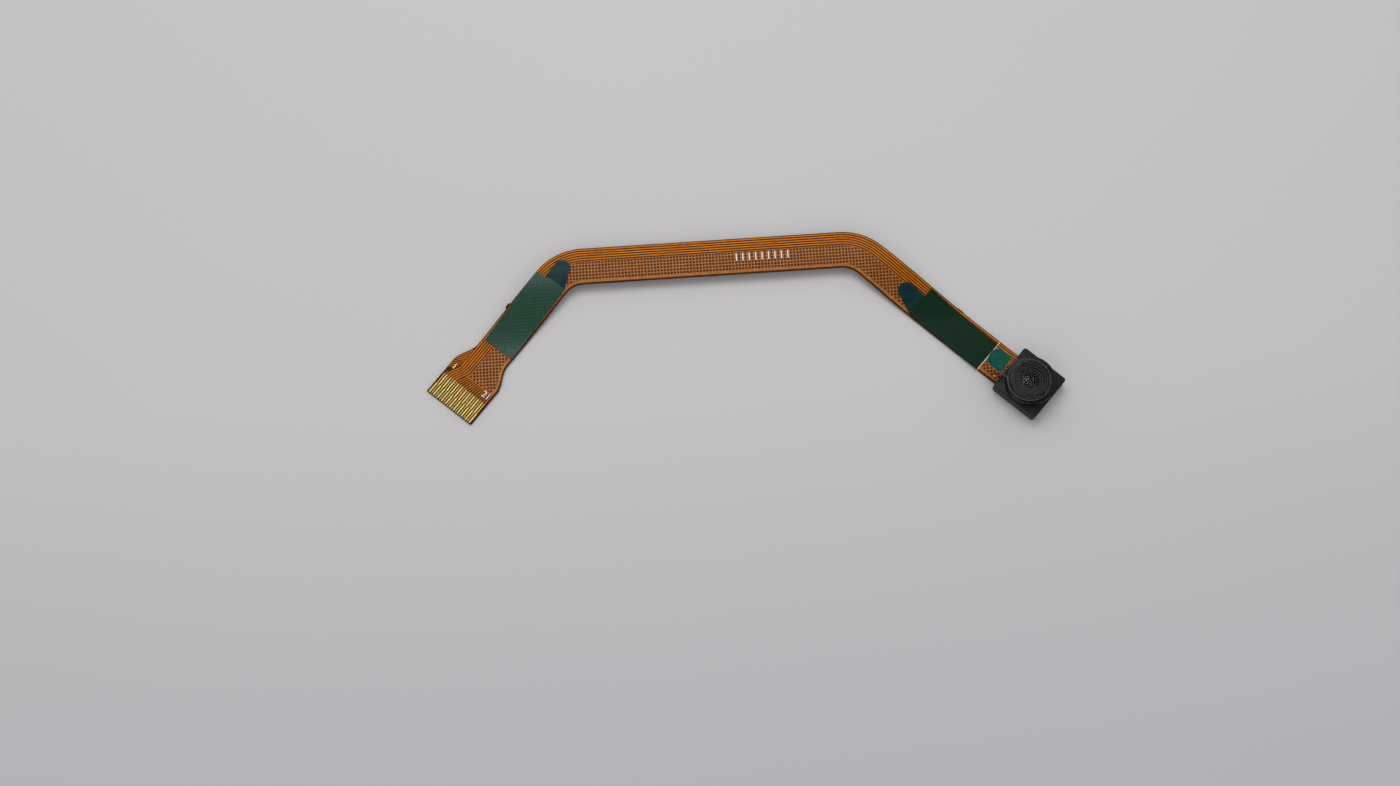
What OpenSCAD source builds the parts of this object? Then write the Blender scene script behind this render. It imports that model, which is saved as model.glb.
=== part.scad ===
// Small camera module: a flexible circuit with two bends, a plug-in contact
// tail at the left end and a square camera head at the right end.
// Millimetres and degrees. The lens looks up, +X runs along the middle run, and the
// two arms turn away from it towards -Y. Tail and head lie flat, and the ribbon rises a
// little between them, as a springy film does: every layer follows one curve of height
// over Y, so its outline stays true in plan.

/* [Ribbon] */
// Middle run, between the two corners of its centre line
middle_run = 34.6; // [26:0.1:60]
// Turn of the left arm away from the middle run
left_turn = 48; // [38:1:52]
// Turn of the right arm away from the middle run
right_turn = 44; // [38:1:52]
// Radius of the centre line round the bends
bend_radius = 5; // [3.6:0.1:7]
// Width of the ribbon
ribbon_w = 4.4; // [4.2:0.1:5.4]
// Left arm, from its corner to the end of the contact tail
left_arm = 21.2; // [20:0.1:40]
// Right arm, from its corner to the lens axis
right_arm = 25.6; // [25:0.1:50]
// Tie stub left on the left arm's outer edge, from the corner
left_stub_at = 7.6; // [5:0.1:12]
// Tie stub left on the right arm's outer edge, from the corner
right_stub_at = 14; // [5:0.1:18]
// Length of a tie stub along the edge
stub_l = 0.9; // [0.4:0.1:2]
// How far a tie stub stands out of the edge
stub_out = 0.2; // [0.1:0.05:0.4]

/* [Arch] */
// Height that the middle run stands above the flat tail and head
arch_h = 1.2; // [0.3:0.1:2.4]
// Distance in Y over which the arms rise
arch_rise = 9; // [7:0.1:9.4]

/* [Layers] */
// Polyimide core
core_t = 0.05; // [0.025:0.005:0.08]
// Copper foil on each side of the core
copper_t = 0.02; // [0.012:0.001:0.035]
// Coverlay film over each copper foil
coverlay_t = 0.03; // [0.02:0.005:0.05]
// Stiffeners under the tail and under the head
stiffener_t = 0.18; // [0.1:0.01:0.3]

/* [Copper] */
// Signal traces along the outer edge
trace_count = 5; // [3:1:5]
// Width of a signal trace
trace_w = 0.14; // [0.08:0.01:0.16]
// Spacing of the signal traces
trace_pitch = 0.295; // [0.24:0.005:0.3]
// Bare film between the ribbon's edge and the copper
edge_margin = 0.12; // [0.08:0.01:0.2]
// Spacing of the gaps in the ground mesh
mesh_pitch = 1.2; // [1.15:0.05:2]
// Width of the copper lines between the gaps
mesh_line = 0.45; // [0.3:0.05:0.6]
// Unbroken copper round the ground mesh
mesh_border = 0.14; // [0.1:0.01:0.25]
// Traces on the back of the core
back_trace_count = 12; // [4:1:12]
// Spacing of the back traces
back_trace_pitch = 0.32; // [0.28:0.01:0.34]

/* [Contact tail] */
// Contacts in the row
contact_count = 21; // [18:1:25]
// Spacing of the contacts
contact_pitch = 0.3; // [0.27:0.01:0.34]
// Width of a contact where it is wide
contact_w = 0.22; // [0.18:0.01:0.24]
// Width of a contact where it is thin
contact_thin = 0.12; // [0.08:0.01:0.16]
// Length of the contacts left bare in front of the coverlay
contact_bare = 2.55; // [2:0.05:3.2]
// Length of the contacts held under the coverlay
contact_held = 0.35; // [0.2:0.05:0.5]
// Length of the tail at its full width
tail_l = 4.8; // [4.4:0.1:6]
// Length of the flare from the ribbon's width to the tail's width
flare_l = 3.2; // [2:0.1:4]
// Length over which the signal traces swing outward onto their contacts
fan_l = 2; // [1.4:0.1:3]
// Length of the stiffener under the tail
tail_stiffener_l = 5.2; // [4:0.1:6]

/* [Release liners] */
// Length of each adhesive patch
patch_l = 10.1; // [6:0.1:11]
// Width of each adhesive patch
patch_w = 4; // [3.2:0.1:4.1]
// Adhesive tape
tape_t = 0.05; // [0.03:0.01:0.1]
// Release liner over the tape
liner_t = 0.06; // [0.03:0.01:0.12]
// How far the liner overhangs the tape all round
liner_over = 0.05; // [0:0.01:0.2]
// Width of the liner's pull tongue
tongue_w = 2; // [1.2:0.1:3]
// Length of the pull tongue beyond the patch
tongue_l = 3; // [2:0.1:5]
// How far the pull tongue sits off the patch's centre, towards the inside of the bend
tongue_shift = 0.18; // [0:0.01:0.4]
// Left patch, from the corner to its near end
left_patch_at = 2.2; // [1.5:0.1:2.6]
// Right patch, from the corner to its near end
right_patch_at = 9.7; // [8:0.1:11]
// Angle at which the patches were laid, off the ribbon's line
patch_skew = 1.5; // [0:0.1:2]

/* [Camera head] */
// Side of the square lens holder
head_size = 6; // [5.8:0.1:7]
// Corner radius of the lens holder
head_corner = 0.3; // [0.1:0.05:0.6]
// Height of the square part of the lens holder
base_h = 1.62; // [1.55:0.01:2.2]
// Diameter of the round collar on the lens holder
collar_d = 5.7; // [5.5:0.05:5.8]
// Height of the round collar
collar_h = 1.0; // [0.7:0.05:1.3]
// Chamfer round the collar's top edge
collar_chamfer = 0.12; // [0.05:0.01:0.2]
// Side of the square space for the sensor inside the holder
cavity_size = 4.9; // [4.6:0.1:5]
// Height of the space for the sensor
cavity_h = 0.97; // [0.95:0.01:1.1]
// Shelf between the sensor and the lens barrel
shelf_t = 0.15; // [0.1:0.01:0.3]
// Opening through the shelf
shelf_opening = 3.2; // [2.6:0.1:3.5]
// Glue line under the lens holder
glue_t = 0.05; // [0.03:0.01:0.1]
// Side of the infrared filter
filter_size = 3.9; // [3.7:0.1:4.2]
// Infrared filter
filter_t = 0.2; // [0.15:0.01:0.25]

/* [Lens barrel] */
// Diameter of the lens barrel where it screws into the holder
barrel_d = 4.9; // [4.7:0.05:5]
// Clearance all round the barrel in its bore
barrel_clear = 0.05; // [0.03:0.01:0.1]
// Diameter of the barrel's head
barrel_head_d = 5.1; // [4.9:0.05:5.2]
// Height of the barrel's head above the collar
barrel_head_h = 0.66; // [0.5:0.02:1]
// Gap between the barrel's head and the collar, used to focus
focus_gap = 0.06; // [0.03:0.01:0.15]
// Diameter of the funnel at the top of the barrel
funnel_d = 3.9; // [3.4:0.1:4.2]
// Depth of the funnel
funnel_depth = 0.85; // [0.6:0.05:1]
// Clear opening at the bottom of the funnel
aperture_d = 1.9; // [1.4:0.1:2.2]
// Steps in the funnel's wall
funnel_steps = 3; // [2:1:4]
// Bore of the barrel round the lens elements
lens_bore_d = 3.8; // [3.5:0.1:4]
// Clearance all round the lens elements
lens_clear = 0.03; // [0.02:0.01:0.05]
// Rim of the front lens
front_rim_t = 0.34; // [0.25:0.01:0.4]
// Rim of the middle lens
middle_rim_t = 0.26; // [0.2:0.01:0.3]
// Rim of the rear lens
rear_rim_t = 0.26; // [0.2:0.01:0.3]
// Stop discs between the lenses
stop_t = 0.04; // [0.02:0.01:0.06]
// Opening of the front stop disc
stop_d = 0.7; // [0.4:0.05:1]
// Retaining ring under the rear lens
retainer_t = 0.1; // [0.06:0.01:0.15]

/* [Sensor] */
// Sensor package along the arm
sensor_l = 3.6; // [3:0.1:3.8]
// Sensor package across the arm
sensor_w = 3.3; // [3:0.1:3.4]
// Silicon of the sensor package
die_t = 0.25; // [0.15:0.01:0.3]
// Cavity wall between the silicon and the cover glass
dam_t = 0.04; // [0.02:0.01:0.06]
// Cover glass of the sensor package
cover_glass_t = 0.28; // [0.2:0.01:0.32]
// Solder balls along each side of the package
ball_rows = 5; // [3:1:6]
// Diameter of a solder ball
ball_d = 0.24; // [0.18:0.01:0.3]
// Height of a solder ball after reflow
ball_h = 0.15; // [0.1:0.01:0.16]
// Chip capacitors on each side of the sensor
cap_count = 3; // [1:1:4]
// Length of a chip capacitor
cap_l = 0.6; // [0.5:0.05:0.7]
// Width and height of a chip capacitor
cap_w = 0.3; // [0.2:0.05:0.35]
// Length of a capacitor's metal end
cap_end = 0.12; // [0.08:0.01:0.15]

/* [Lens film] */
// Diameter of the clear film on the lens
film_d = 5.2; // [4.6:0.1:5.5]
// Clear film
film_t = 0.05; // [0.03:0.01:0.1]
// Width of the film's neck
neck_w = 2.55; // [1.5:0.05:3]
// Reach of the film's neck from the lens axis
neck_reach = 5.3; // [4.6:0.1:6.5]
// Radius of the corners at the end of the neck
neck_corner = 0.75; // [0.3:0.05:1]
// Green pull tab on the neck
tab_l = 2; // [1.2:0.1:2.4]
// Clear film left showing round the tab
tab_margin = 0.1; // [0.05:0.01:0.2]
// Thickness of the pull tab
tab_t = 0.06; // [0.03:0.01:0.1]
// Angle at which the film was stuck on, off the arm's line
film_turn = 5; // [0:1:12]
// How far the film was stuck off the lens axis, towards the inside of the bend
film_shift = 0.35; // [0:0.05:0.5]

/* [Hidden] */

ARC_STEPS = 16;
ARCH_STEPS = 16;
FLARE_STEPS = 10;
ROUND = 96;
FILM_STEPS = 64;

// How much smaller than the lens holder the layers under it are
head_inset = 0.35;

lc = cos(left_turn);
ls = sin(left_turn);
rc = cos(right_turn);
rs = sin(right_turn);
half_w = ribbon_w / 2;

// Heights of the layers, from the surface that the stiffeners lie on
z_back_film = stiffener_t;
z_back_copper = z_back_film + coverlay_t;
z_core = z_back_copper + copper_t;
z_copper = z_core + core_t;
z_coverlay = z_copper + copper_t;
z_ribbon_top = z_coverlay + coverlay_t;
z_liner = z_ribbon_top + tape_t;

// Tail
tail_w = (contact_count + 1) * contact_pitch;
flare_from = left_arm - tail_l - flare_l;
contact_from = left_arm - contact_bare - contact_held;
contact_inset = 0.08;
mesh_end_gap = 0.6;

// Where the signal traces start to swing outward onto their contacts, and the first of those
fan_from = contact_from - fan_l;
fan_contact = 1;

// Copper across the ribbon, measured from the centre line towards its outer edge
trace_outer = half_w - edge_margin - trace_w / 2;
trace_gap = trace_pitch - trace_w;
pour_outer = trace_outer - (trace_count - 1) * trace_pitch - trace_w / 2 - trace_gap;
pour_inner = -half_w + edge_margin;
mesh_gap = mesh_pitch - mesh_line;
mesh_left_end = contact_from - mesh_end_gap;
mesh_right_end = right_arm - head_size / 2;
window_from = right_arm - cavity_size / 2;

// Camera head
z_glue = z_ribbon_top;
z_holder = z_glue + glue_t;
z_base_top = z_holder + base_h;
z_collar_top = z_base_top + collar_h;
z_shelf = z_holder + cavity_h;
z_bore = z_shelf + shelf_t;
bore_d = barrel_d + 2 * barrel_clear;
collar_sunk = 0.1;
cavity_corner = 0.2;
filter_clear = 0.05;
filter_recess = min(filter_t, base_h - cavity_h - shelf_t);
z_filter = z_shelf - filter_t;

// Lens barrel, from the top down
z_barrel_head = z_collar_top + focus_gap;
z_barrel_top = z_barrel_head + barrel_head_h;
z_aperture = z_barrel_top - funnel_depth;
aperture_lip = 0.1;
z_front_top = z_aperture - aperture_lip;
z_front = z_front_top - front_rim_t;
z_front_stop = z_front - stop_t;
z_middle = z_front_stop - middle_rim_t;
z_rear_stop = z_middle - stop_t;
z_rear = z_rear_stop - rear_rim_t;
z_retainer = z_rear - retainer_t;
lens_d = lens_bore_d - 2 * lens_clear;
barrel_chamfer = 0.08;

// Faces of the lenses: their diameter and how far they are hollow
front_hollow = 0.08;
middle_face_d = 1.6;
middle_hollow = 0.06;
rear_face_d = 2.4;
rear_hollow = 0.05;
retainer_open_d = 2.8;

// Sensor
z_die = z_copper + ball_h;
z_dam = z_die + die_t;
z_cover_glass = z_dam + dam_t;
dam_w = 0.35;
cap_gap = 0.12;

// Box of the whole part in plan, with the left corner at 0,0
head_reach = (head_size / 2 - head_corner) * (rc + rs) + head_corner;
x_low = -(left_arm * lc + tail_w / 2 * ls);
x_high = middle_run + right_arm * rc + head_reach;
y_low = min(-right_arm * rs - head_reach, -left_arm * ls - tail_w / 2 * lc);
y_high = half_w;

// Where the arch starts, clear of the tail's stiffener and of the head
arch_clear = 0.2;
arch_from = arch_clear + max(-(left_arm - tail_stiffener_l) * ls + tail_w / 2 * lc, head_reach - right_arm * rs);

// A point on an arm: s along it from its corner, t across it towards the outer edge
function left_point(s, t) = [-(s * lc + t * ls), -s * ls + t * lc];
function right_point(s, t) = [middle_run + s * rc + t * rs, -s * rs + t * rc];

// How far from its corner a bend ends, and the points of a left-hand bend at an offset t
function bend_len(turn) = bend_radius * tan(turn / 2);
function bend(turn, t) = [for (i = [0:ARC_STEPS])
    let (a = 90 + turn * (1 - i / ARC_STEPS))
    [bend_len(turn) + (bend_radius + t) * cos(a), -bend_radius + (bend_radius + t) * sin(a)]];

// The two bends and the middle run at an offset t from the centre line, left to right
function run_line(t) = concat(bend(left_turn, t),
    [for (p = reversed(bend(right_turn, t))) [middle_run - p[0], p[1]]]);
function reversed(list) = [for (i = [len(list) - 1:-1:0]) list[i]];

// Smooth step from 0 to 1, and the half width of the tail end at a distance along the arm
function ease(u) = let (v = max(0, min(1, u))) v * v * (3 - 2 * v);
function half_width(s) = half_w + (tail_w / 2 - half_w) * ease((s - flare_from) / flare_l);
function evenly(s_start, s_end) = [for (i = [0:FLARE_STEPS]) s_start + (s_end - s_start) * i / FLARE_STEPS];
function flare_stations(s_end) = evenly(flare_from, s_end);

// Centre of a contact across the tail, the first one nearest the outer edge
function contact_t(k) = ((contact_count - 1) / 2 - k) * contact_pitch;

// A signal trace across the arm: it keeps its place in the band, then swings out to its contact
function trace_t(i, s) = let (t0 = trace_outer - i * trace_pitch)
    t0 + (contact_t(fan_contact + i) - t0) * ease((s - fan_from) / fan_l);

// Outer and inner limits of the ground mesh across the left arm
function pour_outer_at(s) = trace_t(trace_count - 1, s) - trace_w / 2 - trace_gap;
function pour_inner_at(s) = -half_width(s) + edge_margin;

// Corners of a square or rectangle with round corners, centred on 0,0
function round_rect(l, w, r) = [for (q = [0:3], i = [0:6])
    let (a = 90 * q + 15 * i,
         cx = (q == 0 || q == 3 ? 1 : -1) * (l / 2 - r),
         cy = (q < 2 ? 1 : -1) * (w / 2 - r))
    [cx + r * cos(a), cy + r * sin(a)]];

module whole() {
    translate([-(x_low + x_high) / 2, -(y_low + y_high) / 2, 0]) children();
}

module on_left_arm() {
    whole() mirror([1, 0, 0]) rotate([0, 0, -left_turn]) children();
}

module on_right_arm() {
    whole() translate([middle_run, 0, 0]) rotate([0, 0, -right_turn]) children();
}

// The camera head: its axis on 0,0, +X still pointing away from the ribbon
module on_head() {
    on_right_arm() translate([right_arm, 0, 0]) children();
}

// Height of the arch at y: 0 along the tail and under the head, full in the middle run
function arch(y) = arch_h * ease((y - arch_from) / arch_rise);

// Space between the heights z and z + t, following the arch, over the whole part
module arched_layer(z, t) {
    stations = concat([y_low - 1], [for (i = [0:ARCH_STEPS]) arch_from + arch_rise * i / ARCH_STEPS],
                      [y_high + 1]);
    whole() translate([x_low - 1, 0, 0]) rotate([90, 0, 90]) linear_extrude(x_high - x_low + 2)
        polygon(concat([for (y = stations) [y, z + arch(y)]],
                       [for (y = reversed(stations)) [y, z + t + arch(y)]]));
}

// A plan outline made into an arched layer: the children are drawn flat, in the whole part's frame
module arched(z, t) {
    intersection() {
        linear_extrude(arch_h + z_holder + 1) children();
        arched_layer(z, t);
    }
}

module sheet(z, t) {
    arched(z, t) whole() children();
}

// A tie stub on the outer edge: four points between the edge and its flat top
function stub_edge(at) = [[at - stub_l / 2, 0], [at - stub_l / 2 + stub_out, stub_out],
                          [at + stub_l / 2 - stub_out, stub_out], [at + stub_l / 2, 0]];

// Outline of the ribbon with its flared tail, bends, tie stubs and head pad
module ribbon_outline(tail_end) {
    tail = flare_stations(left_arm - tail_l);
    pad = head_size / 2 - head_inset / 2;
    polygon(concat(
        [left_point(tail_end, tail_w / 2)],
        [for (s = reversed(tail)) left_point(s, half_width(s))],
        [for (p = reversed(stub_edge(left_stub_at))) left_point(p[0], half_w + p[1])],
        run_line(half_w),
        [for (p = stub_edge(right_stub_at)) right_point(p[0], half_w + p[1])],
        [right_point(right_arm - pad, half_w), right_point(right_arm - pad, pad),
         right_point(right_arm + pad, pad), right_point(right_arm + pad, -pad),
         right_point(right_arm - pad, -pad), right_point(right_arm - pad, -half_w)],
        reversed(run_line(-half_w)),
        [for (s = tail) left_point(s, -half_width(s))],
        [left_point(tail_end, -tail_w / 2)]
    ));
}

// A strip of copper between two offsets, from a point on the left arm to one on the right
module strip(t, w, left_end, right_end) {
    polygon(concat(
        [left_point(left_end, t + w / 2)], run_line(t + w / 2),
        [right_point(right_end, t + w / 2), right_point(right_end, t - w / 2)],
        reversed(run_line(t - w / 2)), [left_point(left_end, t - w / 2)]
    ));
}

module tail_stiffener() {
    color([0.35, 0.2, 0.08])
    on_left_arm() translate([left_arm - tail_stiffener_l, -tail_w / 2, 0])
        cube([tail_stiffener_l, tail_w, stiffener_t]);
}

module head_stiffener() {
    side = head_size - head_inset;
    color("silver")
    on_head() linear_extrude(stiffener_t) polygon(round_rect(side, side, head_corner));
}

module back_coverlay() {
    color([0.75, 0.42, 0.08])
    sheet(z_back_film, coverlay_t) ribbon_outline(left_arm);
}

module back_traces() {
    span = (back_trace_count - 1) * back_trace_pitch;
    color([0.8, 0.45, 0.2])
    sheet(z_back_copper, copper_t)
        for (i = [0:back_trace_count - 1])
            strip(span / 2 - i * back_trace_pitch, trace_w, flare_from, window_from);
}

module core_film() {
    color([0.8, 0.45, 0.1])
    sheet(z_core, core_t) ribbon_outline(left_arm);
}

module signal_traces() {
    fan = evenly(fan_from, contact_from);
    color([0.85, 0.5, 0.25])
    sheet(z_copper, copper_t)
        for (i = [0:trace_count - 1]) {
            t = trace_outer - i * trace_pitch;
            polygon(concat(
                [for (s = reversed(fan)) left_point(s, trace_t(i, s) + trace_w / 2)],
                run_line(t + trace_w / 2),
                [right_point(window_from, t + trace_w / 2), right_point(window_from, t - trace_w / 2)],
                reversed(run_line(t - trace_w / 2)),
                [for (s = fan) left_point(s, trace_t(i, s) - trace_w / 2)]
            ));
        }
}

// Distance along the nearer arm of a point whose x counts from that arm's corner
function along(q, turn) = -q[0] * cos(turn) - q[1] * sin(turn);

// Offset of the same point from the centre line, in the middle, on the arm or round the bend
function across(q, turn) = q[0] > bend_len(turn) ? q[1]
    : along(q, turn) > bend_len(turn) ? -q[0] * sin(turn) + q[1] * cos(turn)
    : norm([q[0] - bend_len(turn), q[1] + bend_radius]) - bend_radius;

// Whether a gap of the mesh fits at x, y with unbroken copper all round it
function gap_fits(x, y) = let (
    left = x < middle_run / 2,
    turn = left ? left_turn : right_turn,
    q = left ? [x, y] : [middle_run - x, y],
    half_gap = q[0] > bend_len(turn) ? mesh_gap / 2 : mesh_gap / 2 * (cos(turn) + sin(turn)),
    reach = mesh_border + half_gap,
    s = along(q, turn), t = across(q, turn),
    hi = left ? pour_outer_at(s) : pour_outer,
    lo = left ? pour_inner_at(s) : pour_inner,
    end = left ? mesh_left_end : mesh_right_end)
    t + reach < hi && t - reach > lo && s + reach < end;

module ground_mesh() {
    tail = flare_stations(mesh_left_end);
    columns = ceil((x_high - x_low) / 2 / mesh_pitch);
    rows = ceil((y_high - y_low) / mesh_pitch);
    y_first = (pour_outer + pour_inner) / 2;
    color([0.85, 0.5, 0.25])
    sheet(z_copper, copper_t) difference() {
        polygon(concat(
            [for (s = reversed(tail)) left_point(s, pour_outer_at(s))],
            run_line(pour_outer),
            [right_point(mesh_right_end, pour_outer), right_point(mesh_right_end, pour_inner)],
            reversed(run_line(pour_inner)),
            [for (s = tail) left_point(s, pour_inner_at(s))]
        ));
        for (i = [-columns:columns], j = [-rows:1])
            let (x = middle_run / 2 + (i + 0.5) * mesh_pitch, y = y_first + (j + 0.5) * mesh_pitch)
                if (gap_fits(x, y)) translate([x, y]) square(mesh_gap, center = true);
    }
}

// One contact: wide at the back and thin at the front, or the other way about
module contact(wide_at_back) {
    back = wide_at_back ? contact_w : contact_thin;
    front = wide_at_back ? contact_thin : contact_w;
    middle = (contact_held + contact_bare) / 2;
    tip = contact_held + contact_bare - contact_inset;
    polygon([[0, -back / 2], [middle, -back / 2], [middle + contact_w / 2, -front / 2], [tip, -front / 2],
             [tip, front / 2], [middle + contact_w / 2, front / 2], [middle, back / 2], [0, back / 2]]);
}

module contacts() {
    color([0.9, 0.78, 0.4])
    on_left_arm() translate([contact_from, 0, z_copper]) linear_extrude(copper_t)
        for (k = [0:contact_count - 1])
            translate([0, contact_t(k)]) contact(k % 2 == 1);
}

module coverlay() {
    color([0.85, 0.5, 0.12, 0.6])
    difference() {
        sheet(z_coverlay, coverlay_t) ribbon_outline(left_arm - contact_bare);
        on_head() translate([-cavity_size / 2, -cavity_size / 2, z_coverlay - 1])
            cube([cavity_size, cavity_size, 2]);
    }
}

// Outline of a release liner: the patch from x = 0 on, and its pull tongue before it
module liner_outline() {
    r = tongue_w / 2;
    polygon(concat(
        [[0, patch_w / 2], [patch_l, patch_w / 2], [patch_l, -patch_w / 2], [0, -patch_w / 2]],
        [for (i = [0:ARC_STEPS]) let (a = 270 - 180 * i / ARC_STEPS)
            [r - tongue_l + r * cos(a), -tongue_shift + r * sin(a)]],
        [[0, r - tongue_shift]]
    ));
}

module laid(outline_at) {
    translate([outline_at, 0]) rotate(-patch_skew) children();
}

module tape_outline() {
    translate([liner_over, liner_over - patch_w / 2])
        square([patch_l - 2 * liner_over, patch_w - 2 * liner_over]);
}

module left_tape() {
    color([0.85, 0.85, 0.75])
    arched(z_ribbon_top, tape_t) on_left_arm() laid(left_patch_at) tape_outline();
}

module left_liner() {
    color([0.1, 0.35, 0.25])
    arched(z_liner, liner_t) on_left_arm() laid(left_patch_at) liner_outline();
}

module right_tape() {
    color([0.85, 0.85, 0.75])
    arched(z_ribbon_top, tape_t) on_right_arm() laid(right_patch_at) tape_outline();
}

module right_liner() {
    color([0.1, 0.35, 0.25])
    arched(z_liner, liner_t) on_right_arm() laid(right_patch_at) liner_outline();
}

// Squashed balls under the sensor package, all but the middle one of the grid
module solder_balls() {
    pitch_l = (sensor_l - 2 * ball_d) / (ball_rows - 1);
    pitch_w = (sensor_w - 2 * ball_d) / (ball_rows - 1);
    middle = (ball_rows - 1) / 2;
    flat_r = sqrt(pow(ball_d / 2, 2) - pow(ball_h / 2, 2));
    color("lightgray")
    on_head()
        for (i = [0:ball_rows - 1], j = [0:ball_rows - 1])
            if (i != middle || j != middle)
                translate([(i - middle) * pitch_l, (j - middle) * pitch_w, z_copper])
                    rotate_extrude($fn = 24) polygon(concat([[0, 0]],
                        [for (k = [-2:2]) let (z = ball_h * k / 4)
                            [sqrt(pow(ball_d / 2, 2) - z * z), z + ball_h / 2]],
                        [[0, ball_h]]));
}

module sensor_die() {
    color([0.25, 0.25, 0.3])
    on_head() translate([-sensor_l / 2, -sensor_w / 2, z_die]) cube([sensor_l, sensor_w, die_t]);
}

module sensor_dam() {
    color([0.15, 0.15, 0.15])
    on_head() translate([0, 0, z_dam]) linear_extrude(dam_t) difference() {
        square([sensor_l, sensor_w], center = true);
        square([sensor_l - 2 * dam_w, sensor_w - 2 * dam_w], center = true);
    }
}

module sensor_glass() {
    color([0.6, 0.75, 0.8])
    on_head() translate([-sensor_l / 2, -sensor_w / 2, z_cover_glass])
        cube([sensor_l, sensor_w, cover_glass_t]);
}

// Places for the chip capacitors, a row along each side of the sensor
module at_capacitors() {
    pitch = sensor_l / cap_count;
    on_head()
        for (side = [-1, 1], i = [0:cap_count - 1])
            translate([(i - (cap_count - 1) / 2) * pitch, side * (sensor_w / 2 + cap_gap + cap_w / 2),
                       z_copper + cap_w / 2])
                children();
}

module chip_capacitors() {
    color([0.55, 0.42, 0.3])
    at_capacitors() cube([cap_l - 2 * cap_end, cap_w, cap_w], center = true);
}

module capacitor_ends() {
    color("silver")
    at_capacitors()
        for (end = [-1, 1])
            translate([end * (cap_l - cap_end) / 2, 0, 0]) cube([cap_end, cap_w, cap_w], center = true);
}

module holder_plan() {
    polygon(round_rect(head_size, head_size, head_corner));
}

module cavity_plan() {
    polygon(round_rect(cavity_size, cavity_size, cavity_corner));
}

// Bead of glue between the ribbon and the foot of the lens holder
module holder_glue() {
    side = head_size - head_inset;
    color([0.1, 0.1, 0.1])
    on_head() translate([0, 0, z_glue]) linear_extrude(glue_t) difference() {
        polygon(round_rect(side, side, head_corner));
        cavity_plan();
    }
}

// Square base with a space for the sensor, a shelf for the filter and a round collar
module lens_holder() {
    color([0.12, 0.12, 0.13])
    on_head() difference() {
        union() {
            translate([0, 0, z_holder]) linear_extrude(base_h) holder_plan();
            translate([0, 0, z_base_top - collar_sunk]) rotate_extrude($fn = ROUND) polygon([
                [0, 0], [collar_d / 2, 0], [collar_d / 2, collar_sunk + collar_h - collar_chamfer],
                [collar_d / 2 - collar_chamfer, collar_sunk + collar_h], [0, collar_sunk + collar_h]]);
        }
        translate([0, 0, z_holder - 1]) linear_extrude(1 + cavity_h) cavity_plan();
        translate([0, 0, z_shelf - 1]) cylinder(h = 2, d = shelf_opening, $fn = ROUND);
        translate([0, 0, z_bore]) cylinder(h = base_h + collar_h, d = bore_d, $fn = ROUND);
    }
}

module infrared_filter() {
    color([0.45, 0.7, 0.75])
    on_head() translate([-filter_size / 2, -filter_size / 2, z_filter])
        cube([filter_size, filter_size, filter_t]);
}

// Wall of the funnel, from its rim down to the aperture in level and sloping steps
function funnel_wall() = [for (i = [0:funnel_steps - 1], k = [0:1])
    let (drop = (funnel_d - aperture_d) / 2 / funnel_steps,
         r = funnel_d / 2 - drop * (i + 0.75 * k),
         z = z_barrel_top - funnel_depth * (i + k) / funnel_steps)
    [r, z]];

module lens_barrel() {
    color([0.14, 0.14, 0.15])
    on_head() rotate_extrude($fn = ROUND) polygon(concat(
        [[lens_bore_d / 2, z_retainer], [barrel_d / 2, z_retainer], [barrel_d / 2, z_barrel_head],
         [barrel_head_d / 2, z_barrel_head], [barrel_head_d / 2, z_barrel_top - barrel_chamfer],
         [barrel_head_d / 2 - barrel_chamfer, z_barrel_top]],
        funnel_wall(),
        [[aperture_d / 2, z_aperture], [aperture_d / 2, z_front_top], [lens_bore_d / 2, z_front_top]]
    ));
}

// A lens element: a flat rim that seats in the barrel, and a domed face above and below
module lens_element(z, rim_t, face_d, top_sag, bottom_sag) {
    a = face_d / 2;
    function dome(sag, u) = sag * (1 - u * u);
    translate([0, 0, z]) rotate_extrude($fn = ROUND) polygon(concat(
        [for (i = [0:8]) [a * i / 8, -dome(bottom_sag, i / 8)]],
        [[lens_d / 2, 0], [lens_d / 2, rim_t]],
        [for (i = [8:-1:0]) [a * i / 8, rim_t + dome(top_sag, i / 8)]]
    ));
}

module stop_disc(z, opening) {
    translate([0, 0, z]) linear_extrude(stop_t) difference() {
        circle(d = lens_d, $fn = ROUND);
        circle(d = opening, $fn = ROUND);
    }
}

module front_lens() {
    color([0.75, 0.85, 0.9])
    on_head() lens_element(z_front, front_rim_t, aperture_d - 2 * lens_clear, aperture_lip, -front_hollow);
}

module front_stop() {
    color([0.05, 0.05, 0.05])
    on_head() stop_disc(z_front_stop, stop_d);
}

module middle_lens() {
    color([0.75, 0.85, 0.9])
    on_head() lens_element(z_middle, middle_rim_t, middle_face_d, -middle_hollow, -middle_hollow);
}

module rear_stop() {
    color([0.05, 0.05, 0.05])
    on_head() stop_disc(z_rear_stop, 2 * stop_d);
}

module rear_lens() {
    color([0.75, 0.85, 0.9])
    on_head() lens_element(z_rear, rear_rim_t, rear_face_d, -rear_hollow, -rear_hollow);
}

module lens_retainer() {
    color([0.1, 0.1, 0.1])
    on_head() translate([0, 0, z_retainer]) linear_extrude(retainer_t) difference() {
        circle(d = lens_d, $fn = ROUND);
        circle(d = retainer_open_d, $fn = ROUND);
    }
}

// Round end of a neck of width w that reaches to x = -reach, from its -Y side to its +Y side
function neck_end(w, reach, r) = concat(
    [for (i = [0:6]) let (a = 270 - 15 * i) [-reach + r + r * cos(a), -w / 2 + r + r * sin(a)]],
    [for (i = [0:6]) let (a = 180 - 15 * i) [-reach + r + r * cos(a), w / 2 - r + r * sin(a)]]);

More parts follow.
